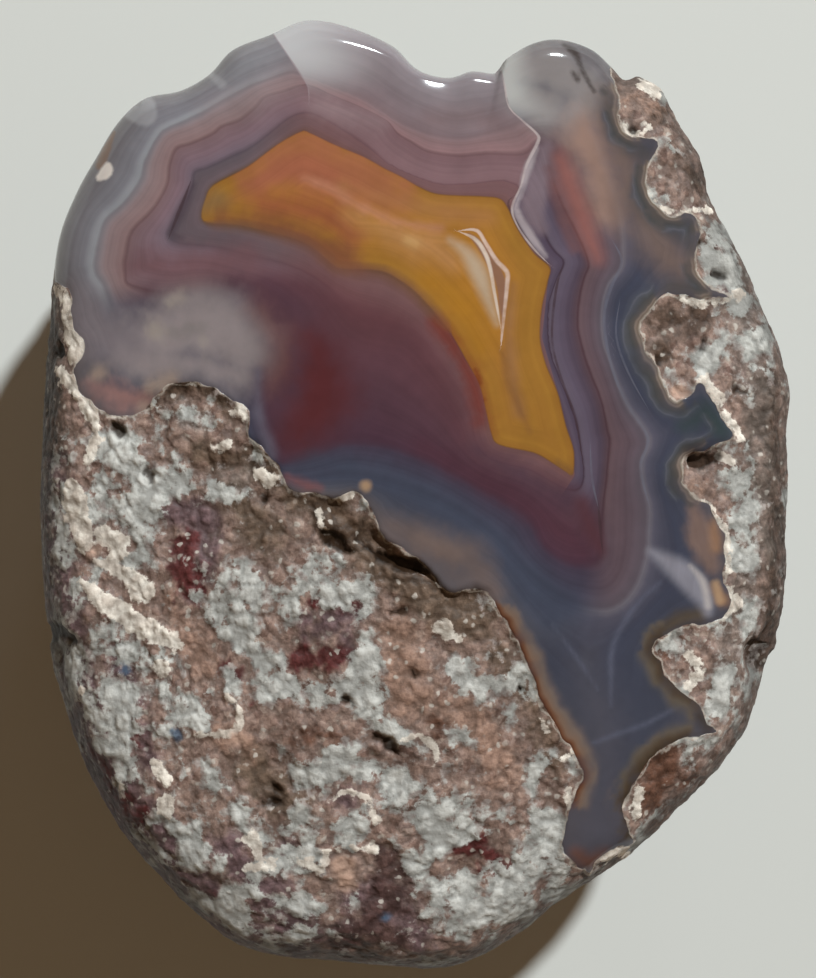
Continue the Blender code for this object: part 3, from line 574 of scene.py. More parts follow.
def face_mm(points):
    """Pixels of the photograph as millimetres on the face; a third number is a half width."""
    flat = np.array(points, float)
    flat[:, 0] = flat[:, 0] - PIXEL_ORIGIN[0]
    flat[:, 1] = PIXEL_ORIGIN[1] - flat[:, 1]
    return flat / PIXELS_PER_MM


def seen_at(points):
    """Where the camera sees each point of the face against the plane of the widest outline."""
    axis = face_mm([CAMERA_AXIS])[0]
    spread = CAMERA_HEIGHT / (CAMERA_HEIGHT - np.maximum(points[:, 2], 0))
    return axis + (points[:, :2] - axis) * spread[:, None]


def curve_through(points, steps, closed=False):
    """A smooth line through the given points, back to the first one if it is closed."""
    knots = np.array(points, float)
    if closed:
        knots = np.vstack((knots, knots[:1]))
        ends = knots[-2], knots[1]
    else:
        ends = knots[0], knots[-1]
    padded = np.vstack((ends[0], knots, ends[1]))
    before, here, after, beyond = padded[:-3], padded[1:-2], padded[2:-1], padded[3:]
    t = np.linspace(0, 1, steps, endpoint=False)[:, None, None]
    curve = 0.5 * (
        2 * here
        + (after - before) * t
        + (2 * before - 5 * here + 4 * after - beyond) * t**2
        + (3 * here - before - 3 * after + beyond) * t**3
    )
    return np.vstack((curve.transpose(1, 0, 2).reshape(-1, knots.shape[1]), knots[-1:]))


def radius_tables(samples=1440):
    """Angles round the outline with its radius there, lobed as it is and smoothed."""
    curve = curve_through(OUTLINE, 24, closed=True)[:-1]
    angle = np.arctan2(curve[:, 1], curve[:, 0])
    order = np.argsort(angle)
    grid = np.linspace(-math.pi, math.pi, samples, endpoint=False)
    lobed = np.interp(grid, angle[order], np.hypot(*curve[order].T), period=2 * math.pi)
    waves = np.fft.rfft(lobed)
    waves[SMOOTH_HARMONICS + 1 :] = 0
    return grid, lobed, np.fft.irfft(waves, samples)


def half_section(place, edge, radius):
    """Share of the plan radius, and height over the widest outline, along the section.

    place runs from 0 at the face's middle to 1 at its shoulder, 2 at the outline and 3 at the back's middle.
    """
    share = edge / radius
    turn = np.clip(place - 1, 0, 1) * math.pi / 2
    under = np.clip(place - 2, 0, 1) * math.pi / 2
    reach = np.where(place < 1, place * (1 - share), 1 - share + share * np.sin(turn))
    reach = np.where(place < 2, reach, np.cos(under) ** BACK_FULLNESS)
    shoulder = EDGE_RADIUS + (edge - EDGE_RADIUS) * reach**2
    front = shoulder * np.cos(turn) + DOME_RISE * (1 - reach**2)
    back = -BACK_DEPTH * np.sin(under) ** BACK_FULLNESS
    return reach, np.where(place < 2, front, back)


def nodule_points(directions):
    """Where the smooth stone's surface lies for directions spread over a ball, and how far in from the outline."""
    grid, lobed, smooth = radius_tables()
    mean = smooth.mean()
    place = np.linspace(0, 3, 1501)
    reach, height = half_section(place, EDGE_RADIUS, mean)
    area = np.hypot(np.diff(reach) * mean, np.diff(height)) * (reach[1:] + reach[:-1])
    area = np.cumsum(area * np.where(place[1:] < DENSE_TO, FACE_DENSITY, 1))
    area = np.concatenate(([0], area)) / area[-1]
    place = np.interp((1 - directions[:, 2]) / 2, area, place)
    angle = np.arctan2(directions[:, 1], directions[:, 0])
    around = np.interp(angle, grid, smooth, period=2 * math.pi)
    lobes = np.interp(angle, grid, lobed, period=2 * math.pi) - around
    edge = EDGE_RADIUS + EDGE_SWING * np.cos(angle - EDGE_WIDEST)
    reach, height = half_section(place, edge, around)
    plan = reach * (around + lobes * reach**LOBE_FADE)
    set_in = (1 - reach) * around
    return np.column_stack((plan * np.cos(angle), plan * np.sin(angle), height)), set_in


def nearest_on(points, line):
    """For each point: distance to a line of straight pieces, positive left of its way, and the rest of the knots."""
    nearest = np.full(len(points), np.inf)
    extra = np.zeros(len(points))
    for start, end in zip(line[:-1], line[1:]):
        along = end[:2] - start[:2]
        apart = points - start[:2]
        share = np.clip(apart @ along / (along @ along + 1e-12), 0, 1)
        away = np.hypot(*(apart - share[:, None] * along).T)
        closer = away < np.abs(nearest)
        left = along[0] * apart[:, 1] - along[1] * apart[:, 0] >= 0
        nearest = np.where(closer, np.where(left, away, -away), nearest)
        if len(start) > 2:
            extra = np.where(closer, start[2] + share * (end[2] - start[2]), extra)
    return nearest, extra


def depth_inside(points, loop):
    """How deep each point lies inside a closed line of straight pieces, negative outside it."""
    inside = np.zeros(len(points), bool)
    for start, end in zip(loop[:-1], loop[1:]):
        crosses = (start[1] > points[:, 1]) != (end[1] > points[:, 1])
        rise = end[1] - start[1] if end[1] != start[1] else 1.0
        inside ^= crosses & (points[:, 0] < start[0] + (points[:, 1] - start[1]) * (end[0] - start[0]) / rise)
    away = np.abs(nearest_on(points, loop)[0])
    return np.where(inside, away, -away)


def depth_painted(points, strokes):
    """How deep each point lies inside the nearest stroke, negative outside them all."""
    deepest = np.full(len(points), -np.inf)
    for stroke in strokes:
        knots = face_mm(stroke)
        line = curve_through(knots, 3) if len(knots) > 1 else np.repeat(knots, 2, axis=0)
        for start, end in zip(line[:-1], line[1:]):
            along = end[:2] - start[:2]
            share = np.clip((points - start[:2]) @ along / (along @ along + 1e-12), 0, 1)
            away = np.hypot(*(points - start[:2] - share[:, None] * along).T)
            deepest = np.maximum(deepest, start[2] + share * (end[2] - start[2]) - away)
    return deepest


def fine_lines(points, lines):
    """Distance across the nearest line over its half width there, signed, and the plain distance."""
    across = np.full(len(points), np.inf)
    near = np.full(len(points), np.inf)
    for line in lines:
        signed, half_width = nearest_on(points, curve_through(face_mm(line), 4))
        closer = np.abs(signed) < near
        across = np.where(closer, signed / (half_width + THINNEST), across)
        near = np.minimum(near, np.abs(signed))
    return across, near


def ramp(value, low, high):
    """0 up to low and 1 from high, with a smooth climb between them."""
    t = np.clip((value - low) / (high - low), 0, 1)
    return t * t * (3 - 2 * t)


def smooth_noise(points, size, seed):
    offset = Vector((seed * 17.3, seed * -9.1, seed * 5.7))
    return np.array([noise.noise(Vector(p) / size + offset) for p in points])


def rough_noise(points, size, seed, octaves=4):
    """Noise at several scales at once, about 0 and with a spread of 1."""
    offset = Vector((seed * -7.1, seed * 13.7, seed * 3.9))
    values = np.array([noise.fractal(Vector(p) / size + offset, 0.6, 2.1, octaves) for p in points])
    return (values - values.mean()) / values.std()


def knobs(points, size, seed):
    """Rounded knobs packed side by side: 1 at the middle of each, 0 in the grooves between them."""
    offset = Vector((seed * 11.9, seed * 3.3, seed * -7.7))
    gaps = np.array([noise.voronoi(Vector(p) / size + offset)[0][:2] for p in points])
    return np.clip(1 - KNOB_ROUNDNESS * gaps[:, 0] ** 2, 0, 1) * ramp(gaps[:, 1] - gaps[:, 0], 0, KNOB_GROOVE)


def facets(points, size, seed):
    """Blunt broken facets: each cell has its own level and slope, and runs into its neighbours in a bevel."""
    offset = Vector((seed * 5.1, seed * -4.3, seed * 9.9))
    heights = []
    for point in points:
        place = Vector(point) / size + offset
        away, centres = noise.voronoi(place)
        weights = [math.exp(FACET_SHARPNESS * (away[0] - distance)) for distance in away]
        levels = []
        for centre in centres:
            chance = noise.noise_vector(centre * 3.7)
            levels.append(chance.x + FACET_SLOPE * noise.noise_vector(centre * 2.3).dot(place - centre))
        heights.append(sum(w * level for w, level in zip(weights, levels)) / sum(weights))
    return np.array(heights)


def face_relief(points, rock):
    """Height of the polished face over its smooth form: level on agate, worn lower and pitted on rock."""
    grain = smooth_noise(points, ROCK_GRAIN, 1)
    height = ramp(rock, *ROCK_STEP) * (ROCK_ROUGH * grain - ROCK_RECESS)
    warp = [smooth_noise(points, ROCK_GRAIN, seed) for seed in (2, 3)]
    flat = points[:, :2] + PIT_WARP * np.column_stack(warp)
    for centre, radius, depth in PITS:
        away = np.hypot(*(flat - np.array(centre)).T)
        height -= depth * (1 - ramp(away, 0, radius))
    crack = np.abs(nearest_on(flat, np.array(CREVICE))[0])
    crack = (1 - ramp(crack, 0, CREVICE_WIDTH)) * ramp(rock, *CREVICE_STEP) * np.clip(1 + 2 * warp[0], 0.3, 1.6)
    return height - CREVICE_DEPTH * crack


def two_scales(pattern, points, size, seed):
    return pattern(points, size, seed) + FINER_SHARE * pattern(points, size / FINER, seed + 1)


def back_relief(points, block):
    """Height of the natural back: broad lumps, knobs where it is agate rind and facets where it is rock."""
    lumps = LUMP_HEIGHT * two_scales(smooth_noise, points, LUMP_SIZE, 4)
    rind = KNOB_HEIGHT * (two_scales(knobs, points, KNOB_SIZE, 6) - KNOB_SINK)
    broken = FACET_HEIGHT * (two_scales(facets, points, FACET_SIZE, 9) - FACET_SINK)
    share = ramp(block, -BLOCK_BLEND, BLOCK_BLEND)
    relief = lumps + rind * (1 - share) + broken * share
    return relief * ramp(np.hypot(points[:, 0], points[:, 1]), *WORN_REACH)


def laid_over(points, paints, waver):
    """Paints laid over each other: their colour times their cover, and the cover."""
    colour = np.zeros((len(points), 3))
    covered = np.zeros(len(points))
    for paint in paints:
        depth = depth_painted(points, paint.strokes) + paint.wobble * waver
        cover = paint.cover * ramp(depth, -paint.soft, paint.soft)
        colour = colour * (1 - cover)[:, None] + cover[:, None] * np.array(tone(paint.colour)[:3])
        covered = covered * (1 - cover) + cover
    return colour, covered


def broken_rock(points, seen, face):
    """Relief of the broken rock over its smooth form, and what its colours need to know."""
    waver = rough_noise(points, 1.3, 35)
    swells = rough_noise(points, COARSE_SIZE, 31)
    grains = knobs(points, GRAIN_SIZE, 32)
    fines = knobs(points, FINE_SIZE, 33)
    patch = ramp(depth_painted(seen, PALE_PATCHES), *PATCH_EDGE)
    bare = ramp(depth_painted(seen, BARE_PATCHES), *PATCH_EDGE)
    coat = COAT_ROUGH * rough_noise(points, COAT_SIZE, 34) + COAT_BIAS + face * (COAT_SWING * (patch - bare))
    cream = face * ramp(depth_painted(seen, CREAM) + CREAM_WAVER * waver, *CREAM_EDGE)
    shaded_hollow = face * ramp(depth_painted(seen, HOLLOWS) + CREAM_WAVER * waver, *HOLLOW_EDGE)
    height = COARSE_HEIGHT * np.clip(swells, -2, 1.5) / 2
    height += GRAIN_HEIGHT * (grains - 0.6) + FINE_HEIGHT * (fines - 0.5)
    height += COAT_HEIGHT * ramp(coat, -0.2, 0.3) + CREAM_HEIGHT * cream - HOLLOW_DEPTH * shaded_hollow
    colours, covered = laid_over(seen, ROCK_CLOUDS, waver / 3)
    stains, stained = laid_over(seen, STAINS, waver / 3)
    found = {
        "lump": 0.55 * grains + 0.3 * fines + 0.08 * np.clip(swells, -2, 2),
        "coat": coat,
        "cream": cream,
        "shaded_hollow": shaded_hollow,
        "rock_cloud": colours * face[:, None],
        "rock_cloud_cover": covered * face,
        "stain": stains * face[:, None],
        "stain_cover": stained * face,
    }
    return np.minimum(height, MOST_PROUD), found


def band_place(seen, contact):
    """Which growth band each point lies in: 0 at the core's edge, up to 4 at the contact or the rim."""
    loops = [CORE_EDGE, FIRST_EDGE, SECOND_EDGE, THIRD_EDGE]
    depths = [depth_inside(seen, curve_through(face_mm(loop), 4, closed=True)) for loop in loops]
    rim = depth_inside(seen, curve_through(OUTLINE, 4, closed=True))
    depths.append(np.minimum(-contact, rim))
    place = np.zeros(len(seen))
    for inner, outer in zip(depths[:-1], depths[1:]):
        passed = np.maximum(-inner, 0)
        left = np.maximum(outer, 0)
        place += passed / (passed + left + 1e-9)
    return place, depths[0], rim


def agate_markings(points, seen, contact):
    """Everything that the agate's colours need to know of each point, by name."""
    waver = rough_noise(points, 1.8, 36) / 3
    place, core, rim = band_place(seen, contact)
    softness = CRISP + (SOFT - CRISP) * ramp(depth_painted(seen, [SOFT_CORE_EDGE]), -0.6, 0.6)
    across = seen[:, 0] * PIXELS_PER_MM + PIXEL_ORIGIN[0]
    found = {
        "band": place + BAND_DRIFT * smooth_noise(points, 6.0, 37),
        "core": core / softness,
        "core_depth": core,
        "rim": rim,
        "right_zone": depth_inside(seen, face_mm(RIGHT_ZONE + RIGHT_ZONE[:1])),
        "bottom_zone": depth_inside(seen, curve_through(face_mm(BOTTOM_ZONE), 4, closed=True)),
        "left_share": 1 - ramp(across, *LEFT_FADE),
        "left_crack": nearest_on(seen, face_mm(LEFT_CRACK))[0],
        "right_crack": nearest_on(seen, face_mm(RIGHT_CRACK))[0],
    }
    for name, strokes in (("knob_zone", KNOB_ZONE), ("tail_zone", TAIL_ZONE), ("olive_zone", OLIVE_ZONE)):
        found[name] = ramp(depth_painted(seen, strokes) + waver, -0.5, 0.4)
    found["calm_zone"] = ramp(depth_painted(seen, CALM_ZONE), -1.5, 1.0)
    for name, paints in (("agate_cloud", AGATE_CLOUDS), ("core_cloud", CORE_CLOUDS)):
        found[name], found[name + "_cover"] = laid_over(seen, paints, waver)
    for name, lines in LINES.items():
        found[name], found[name + "_near"] = fine_lines(seen, lines)
    for paint in AGATE_MARKS + CORE_MARKS:
        found[paint.name] = depth_painted(seen, paint.strokes)
    return found


def add_attribute(mesh, name, values):
    """A number or a triple for each point of the mesh."""
    kind, field = ("FLOAT_VECTOR", "vector") if values.ndim > 1 else ("FLOAT", "value")
    limited = np.clip(values, -FARTHEST, FARTHEST).astype(np.float32)
    mesh.attributes.new(name, kind, "POINT").data.foreach_set(field, limited.ravel())


def build_stone():
    """The whole stone as one fine mesh, with the markings as attributes of its points."""
    ball = bmesh.new()
    bmesh.ops.create_icosphere(ball, subdivisions=BALL_SUBDIVISIONS, radius=1)
    directions = np.array([v.co.normalized() for v in ball.verts])
    front = nodule_points(directions)[0][:, 2] > -FINE_DOWN_TO
    edges = [e for e in ball.edges if front[e.verts[0].index] and front[e.verts[1].index]]
    bmesh.ops.subdivide_edges(ball, edges=edges, cuts=1, use_grid_fill=True)
    bmesh.ops.triangulate(ball, faces=ball.faces)
    ball.verts.index_update()
    directions = np.array([v.co.normalized() for v in ball.verts])
    points, set_in = nodule_points(directions)
    for vertex, point in zip(ball.verts, points):
        vertex.co = point
    ball.normal_update()
    normals = np.array([v.normal for v in ball.verts])
    below = -points[:, 2]
    seen = seen_at(points)
    block = depth_inside(seen, curve_through(face_mm(LOWER_CONTACT), 2, closed=True))
    contact = np.maximum(block, depth_inside(seen, curve_through(face_mm(RIGHT_CONTACT), 2, closed=True)))
    for size, reach in CONTACT_WAVER:
        contact += reach * smooth_noise(points, size, 38)
    rock = np.maximum(contact, below - RIND_START)
    face_share = ramp(-below, -2 * RIND_START, 0)
    grain, found = broken_rock(points, seen, face_share)
    found |= agate_markings(points, seen, contact)
    found |= {"contact": contact, "below": below, "block": block}
    grain *= ramp(rock, 0, GRAIN_START) * (1 + BACK_ROUGHER * ramp(below, *BACK_REACH))
    grain *= 1 - EDGE_WORN * (1 - ramp(np.abs(below), *EDGE_WORN_REACH))
    grain *= 1 - WORN_SHARE * (1 - ramp(np.hypot(points[:, 0], points[:, 1]), *WORN_REACH)) * (below > 0)
    face = face_relief(points, rock) * ramp(-below, 0, FACE_BLEND)
    back = back_relief(points, block) * ramp(below, RIND_START, RIND_START + RIND_BLEND)
    points += normals * (face + grain + np.minimum(back, set_in))[:, None]
    points[:, 2] += BACK_DEPTH - FLAT_CUT
    low, high = (np.array(corner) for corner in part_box("agate_nodule"))
    points = np.clip(points * MM, low, high)
    for vertex, point in zip(ball.verts, points):
        vertex.co = point
    worn = below - RIND_START
    for face in ball.faces:
        corners = [v.index for v in face.verts]
        face.material_index = piece_of_stone(contact[corners], worn[corners], block[corners])
    mesh = bpy.data.meshes.new("agate_and_rock")
    ball.to_mesh(mesh)
    ball.free()
    mesh.shade_smooth()
    for name, values in found.items():
        add_attribute(mesh, name, values)
    stone = bpy.data.objects.new("agate_and_rock", mesh)
    bpy.context.scene.collection.objects.link(stone)
    return stone


def piece_of_stone(contact, worn, block):
    """Which material a face takes: 0 agate alone, 1 rock alone, 2 rind alone, and 3 where they meet."""
    if contact.max() < -EDGE_REACH and worn.max() < -RIND_REACH:
        return 0
    if contact.min() > EDGE_REACH and (worn.max() < -RIND_REACH or block.min() > BLOCK_REACH):
        return 1
    if worn.min() > RIND_REACH and block.max() < -BLOCK_REACH:
        return 2
    return 3


def linear(colour):
    """A colour given as 0 to 255 as the light that it stands for."""
    share = np.array(colour) / 255
    return np.where(share <= 0.04045, share / 12.92, ((share + 0.055) / 1.055) ** 2.4)


def tone(colour):
    """The surface colour that comes out as the given one in the finished picture."""
    return (*np.clip((linear(colour) - SHEEN_LOSS) / GAIN, 0, 1), 1.0)


class Painter:
    """Adds nodes to a material; each call gives the socket that it ends in."""

    def __init__(self, name):
        self.material = bpy.data.materials.new(name)
        self.material.use_nodes = True
        self.nodes = self.material.node_tree.nodes
        self.links = self.material.node_tree.links
        self.shader = self.nodes["Principled BSDF"]
        coordinates = self.nodes.new("ShaderNodeTexCoord").outputs["Object"]
        self.place = self.vector("SCALE", coordinates, scale=1 / MM)
        self.known = {}

    def set(self, socket, value):
        if isinstance(value, bpy.types.NodeSocket):
            self.links.new(value, socket)
        elif value is not None:
            socket.default_value = value

    def vector(self, operation, first, second=None, scale=None):
        node = self.nodes.new("ShaderNodeVectorMath")
        node.operation = operation
        self.set(node.inputs[0], first)
        self.set(node.inputs[1], second)
        self.set(node.inputs[3], scale)
        return node.outputs[0]

    def math(self, operation, *values):
        node = self.nodes.new("ShaderNodeMath")
        node.operation = operation
        for socket, value in zip(node.inputs, values):
            self.set(socket, value)
        return node.outputs[0]

    def attribute(self, name, output="Fac"):
        if name not in self.known:
            self.known[name] = self.nodes.new("ShaderNodeAttribute")
            self.known[name].attribute_name = name
        return self.known[name].outputs[output]

    def noise(self, size, detail=2.0, roughness=0.5, seed=0.0):
        """Noise about 0.5, with lumps of about the given size in millimetres."""
        node = self.nodes.new("ShaderNodeTexNoise")
        self.set(node.inputs["Vector"], self.vector("ADD", self.place, (seed * 37.1, seed * 11.3, seed * -23.7)))
        node.inputs["Scale"].default_value = 1 / size
        node.inputs["Detail"].default_value = detail
        node.inputs["Roughness"].default_value = roughness
        return node.outputs["Fac"]

    def lines(self, along, count, detail=2.0):
        """Noise that changes only along the given value, with count lines to each step of it."""
        node = self.nodes.new("ShaderNodeTexNoise")
        node.noise_dimensions = "1D"
        self.set(node.inputs["W"], along)
        node.inputs["Scale"].default_value = count
        node.inputs["Detail"].default_value = detail
        return node.outputs["Fac"]

    def cells(self, size, reach):
        """Distance from the nearest of many scattered points, and a number by chance for each of them."""
        warp = self.nodes.new("ShaderNodeTexNoise")
        self.set(warp.inputs["Vector"], self.place)
        warp.inputs["Scale"].default_value = 1 / size
        warp.inputs["Detail"].default_value = 1.0
        push = self.vector("SUBTRACT", warp.outputs["Color"], (0.5, 0.5, 0.5))
        node = self.nodes.new("ShaderNodeTexVoronoi")
        self.set(node.inputs["Vector"], self.vector("ADD", self.place, self.vector("SCALE", push, scale=reach)))
        node.inputs["Scale"].default_value = 1 / size
        chance = self.nodes.new("ShaderNodeSeparateColor")
        self.links.new(node.outputs["Color"], chance.inputs["Color"])
        return node.outputs["Distance"], chance.outputs["Red"]

    def smooth(self, value, low, high, start=0.0, end=1.0):
        node = self.nodes.new("ShaderNodeMapRange")
        node.interpolation_type = "SMOOTHSTEP"
        for name, number in zip(("From Min", "From Max", "To Min", "To Max"), (low, high, start, end)):
            node.inputs[name].default_value = number
        self.set(node.inputs["Value"], value)
        return node.outputs["Result"]

    def mix(self, share, first, second, blend="MIX"):
        node = self.nodes.new("ShaderNodeMix")
        node.data_type = "RGBA"
        node.blend_type = blend
        self.set(node.inputs[0], share)
        self.set(node.inputs[6], first)
        self.set(node.inputs[7], second)
        return node.outputs[2]

    def blend(self, share, first, second):
        """Plain numbers, mixed."""
        node = self.nodes.new("ShaderNodeMix")
        self.set(node.inputs[0], share)
        self.set(node.inputs[2], first)
        self.set(node.inputs[3], second)
        return node.outputs[0]

    def colours(self, value, stops):
        """A colour ramp whose last stop is its end."""
        node = self.nodes.new("ShaderNodeValToRGB")
        elements = node.color_ramp.elements
        top = stops[-1][0]
        while len(elements) < len(stops):
            elements.new(0.5)
        for element, (place, colour) in zip(elements, stops):
            element.position = place / top
            element.color = tone(colour)
        self.set(node.inputs["Fac"], self.math("DIVIDE", value, top))
        return node.outputs["Color"]

    def brighten(self, colour, value, low, high, start=0.0, end=1.0):
        """The colour times low to high, as the value goes from start to end."""
        return self.vector("SCALE", colour, scale=self.smooth(value, start, end, low, high))

    def lay(self, colour, name):
        """The colour under a cloud that the mesh carries: its colour times its cover, and the cover."""
        left = self.math("SUBTRACT", 1.0, self.attribute(name + "_cover"))
        return self.vector("ADD", self.vector("SCALE", colour, scale=left), self.attribute(name, "Vector"))

    def paint(self, colour, paint, waver):
        """The colour with one painted marking over it."""
        depth = self.math("MULTIPLY_ADD", waver, paint.wobble, self.attribute(paint.name))
        cover = self.smooth(depth, -paint.soft, paint.soft, 0.0, paint.cover)
        return self.mix(cover, colour, tone(paint.colour))

    def line(self, colour, name, waver, shine, cover):
        """The colour with a set of fine lines over it, uneven along their way."""
        across = self.math("ABSOLUTE", self.attribute(name))
        share = self.math("MULTIPLY", self.smooth(across, 0.5, 1.6, cover, 0.0),
                          self.smooth(self.attribute(name + "_near"), 0.2, 0.4, 1.0, 0.0))
        share = self.math("MULTIPLY", share, self.smooth(waver, -0.5, 0.3, 0.35, 1.0))
        return self.mix(share, colour, tone(shine))


def agate_colour(p, waver):
    """Bands from the core's edge to the contact, with the soft clouds and fine lines in them."""
    place = p.math("MULTIPLY_ADD", waver, 0.03, p.attribute("band"))
    colour = p.colours(place, TOP_BANDS)
    colour = p.mix(p.attribute("left_share"), colour, p.colours(place, LEFT_BANDS))
    right = p.smooth(p.attribute("right_zone"), -0.03, 0.03)
    colour = p.mix(right, colour, p.colours(place, RIGHT_BANDS))
    bottom = p.smooth(p.attribute("bottom_zone"), -BOTTOM_SOFTNESS, BOTTOM_SOFTNESS)
    colour = p.mix(bottom, colour, p.colours(place, BOTTOM_BANDS))
    colour = p.lay(colour, "agate_cloud")
    broad = p.brighten(colour, p.lines(place, 5.0, 3.0), 0.93, 1.07, 0.15, 0.85)
    broad = p.brighten(broad, p.lines(place, 22.0, 1.0), 0.975, 1.025, 0.1, 0.9)
    colour = p.mix(p.smooth(p.attribute("calm_zone"), 0.0, 1.0, 1.0, 0.2), colour, broad)
    for paint in AGATE_MARKS:
        colour = p.paint(colour, paint, waver)
    colour = p.line(colour, "pale_lines", waver, (103, 102, 114), 0.65)
    colour = p.line(colour, "dark_lines", waver, (66, 50, 54), 0.7)
    into = p.math("MULTIPLY_ADD", waver, -0.08, p.math("MULTIPLY", p.attribute("contact"), -1.0))
    fade = p.math("MULTIPLY", p.smooth(into, 0.9, 1.7, 1.0, 0.0), p.smooth(p.noise(2.0, seed=4), 0.3, 0.6, 0.55, 1.0))
    for zone, stops in HALOS.items():
        share = p.math("MULTIPLY", fade, p.attribute(zone))
        colour = p.mix(share, colour, p.colours(p.math("MAXIMUM", into, 0.0), stops))
    return p.brighten(colour, p.noise(3.4, 3.0, 0.6, seed=2), 0.9, 1.1, 0.2, 0.8)


def crack_colour(p, colour, waver):
    """Pale haze on the right of each crack where its plane shows, painted as a reflection near the top rim, and the
    cracks themselves as thin bright lines.
    """
    left = p.math("MULTIPLY_ADD", waver, 0.05, p.attribute("left_crack"))
    right = p.math("MULTIPLY_ADD", waver, 0.12, p.attribute("right_crack"))
    height = p.nodes.new("ShaderNodeSeparateXYZ")
    p.set(height.inputs[0], p.place)
    up = height.outputs["Y"]
    # Painted reflection: a pale veil on the right of each crack, fading out away from the top rim
    left_veil_and_reflection = p.math("MULTIPLY", p.smooth(left, -0.05, 0.05), p.smooth(left, 0.4, 6.5, 0.95, 0.0))
    left_veil_and_reflection = p.math("MULTIPLY", left_veil_and_reflection, p.smooth(up, 28.4, 32.2))
    colour = p.mix(left_veil_and_reflection, colour, tone((186, 182, 183)))
    right_veil_and_reflection = p.math("MULTIPLY", p.smooth(right, -0.05, 0.05), p.smooth(right, 0.2, 2.8, 0.95, 0.0))
    right_veil_and_reflection = p.math("MULTIPLY", right_veil_and_reflection, p.smooth(up, 26.4, 29.4))
    colour = p.mix(right_veil_and_reflection, colour, tone((174, 171, 168)))
    colour = p.line(colour, "left_line", waver, (152, 136, 140), 0.8)
    return p.line(colour, "right_line", waver, (184, 168, 166), 0.8)


def core_colour(p, waver):
    """Orange and gold, finely striped along the core's edge, with the pale growth line and white wedge."""
    depth = p.attribute("core_depth")
    colour = p.colours(depth, CORE_RAMP)
    colour = p.lay(colour, "core_cloud")
    colour = p.brighten(colour, p.lines(depth, 2.2, 3.0), 0.92, 1.08, 0.15, 0.85)
    for paint in CORE_MARKS:
        colour = p.paint(colour, paint, waver)
    colour = p.line(colour, "growth_line", waver, (206, 180, 168), 0.9)
    colour = p.line(colour, "inner_line", waver, (208, 188, 174), 0.9)
    return p.brighten(colour, p.noise(2.6, 3.0, 0.6, seed=6), 0.92, 1.08, 0.2, 0.8)


def rock_colour(p):
    """Grains in their own tones under a pale lacy coating and the other minerals, with painted shade between the
    grains, in the hollows and along the outline, and painted light on the grains' tops.
    """
    fine = p.math("SUBTRACT", p.noise(0.4, 4.0, 0.7, seed=9), 0.5)
    medium = p.math("SUBTRACT", p.noise(1.0, 4.0, 0.6, seed=8), 0.5)
    gaps, chance = p.cells(0.6, 0.5)
    # The level is the relief for the bump, and it also paints shade and light into the colour
    level = p.math("MULTIPLY_ADD", fine, 0.8, p.attribute("lump"))
    level = p.math("MULTIPLY_ADD", gaps, -0.3, level)
    colour = p.colours(chance, GRAIN_TONES)
    colour = p.mix(p.smooth(medium, -0.15, 0.15, 0.2, 0.85), colour, tone(ROCK_BASE))
    colour = p.lay(colour, "rock_cloud")
    colour = p.brighten(colour, fine, 0.8, 1.2, -0.2, 0.2)
    speck = p.math("MULTIPLY", p.smooth(chance, 0.76, 0.8), p.smooth(gaps, 0.22, 0.4, 0.75, 0.0))
    colour = p.mix(speck, colour, tone((192, 182, 172)))
    coat = p.math("MULTIPLY_ADD", fine, 1.5, p.attribute("coat"))
    coat = p.math("MULTIPLY_ADD", medium, 2.0, coat)
    tint = p.math("MULTIPLY_ADD", fine, 0.9, p.math("MULTIPLY_ADD", medium, -0.8, p.attribute("coat")))
    coat_tone = p.colours(p.smooth(tint, -0.3, 0.7), COAT_TONES)
    colour = p.mix(p.smooth(coat, -0.14, 0.2, 0.0, 0.95), colour, coat_tone)
    # Painted shade along the outline: the colour falls to half within 1.3 mm of it
    colour = p.brighten(colour, p.attribute("rim"), 0.5, 1.0, 0.0, 1.3)
    cream = p.math("MULTIPLY_ADD", medium, 1.5, p.math("MULTIPLY_ADD", fine, 1.1, p.attribute("cream")))
    cream = p.smooth(p.math("MULTIPLY_ADD", gaps, -0.35, cream), 0.2, 0.5, 0.0, 0.94)
    cream_tone = p.mix(p.smooth(medium, -0.12, 0.12), tone((238, 227, 214)), tone((204, 190, 177)))
    colour = p.mix(cream, colour, cream_tone)
    rim = p.math("MULTIPLY_ADD", medium, 1.2, p.attribute("contact"))
    rim = p.math("MULTIPLY", p.smooth(rim, -0.05, 0.03), p.smooth(rim, 0.1, 0.24, 0.65, 0.0))
    rim = p.math("MULTIPLY", rim, p.smooth(p.attribute("below"), -0.5, 1.0, 1.0, 0.0))
    colour = p.mix(rim, colour, tone((196, 184, 172)))
    colour = p.lay(colour, "stain")
    # Painted shade: the hollows are coloured near black
    colour = p.mix(p.smooth(p.attribute("shaded_hollow"), 0.1, 0.9, 0.0, 0.9), colour, tone((44, 34, 28)))
    # Painted shade and light: darker where the level is low between grains, lighter on their tops, less so on the cream
    painted_shade_and_light = p.brighten(colour, level, 0.66, 1.2, -0.15, 0.66)
    cream_painted_shade_and_light = p.brighten(colour, level, 0.78, 1.18, -0.15, 0.6)
    return p.mix(cream, painted_shade_and_light, cream_painted_shade_and_light), level


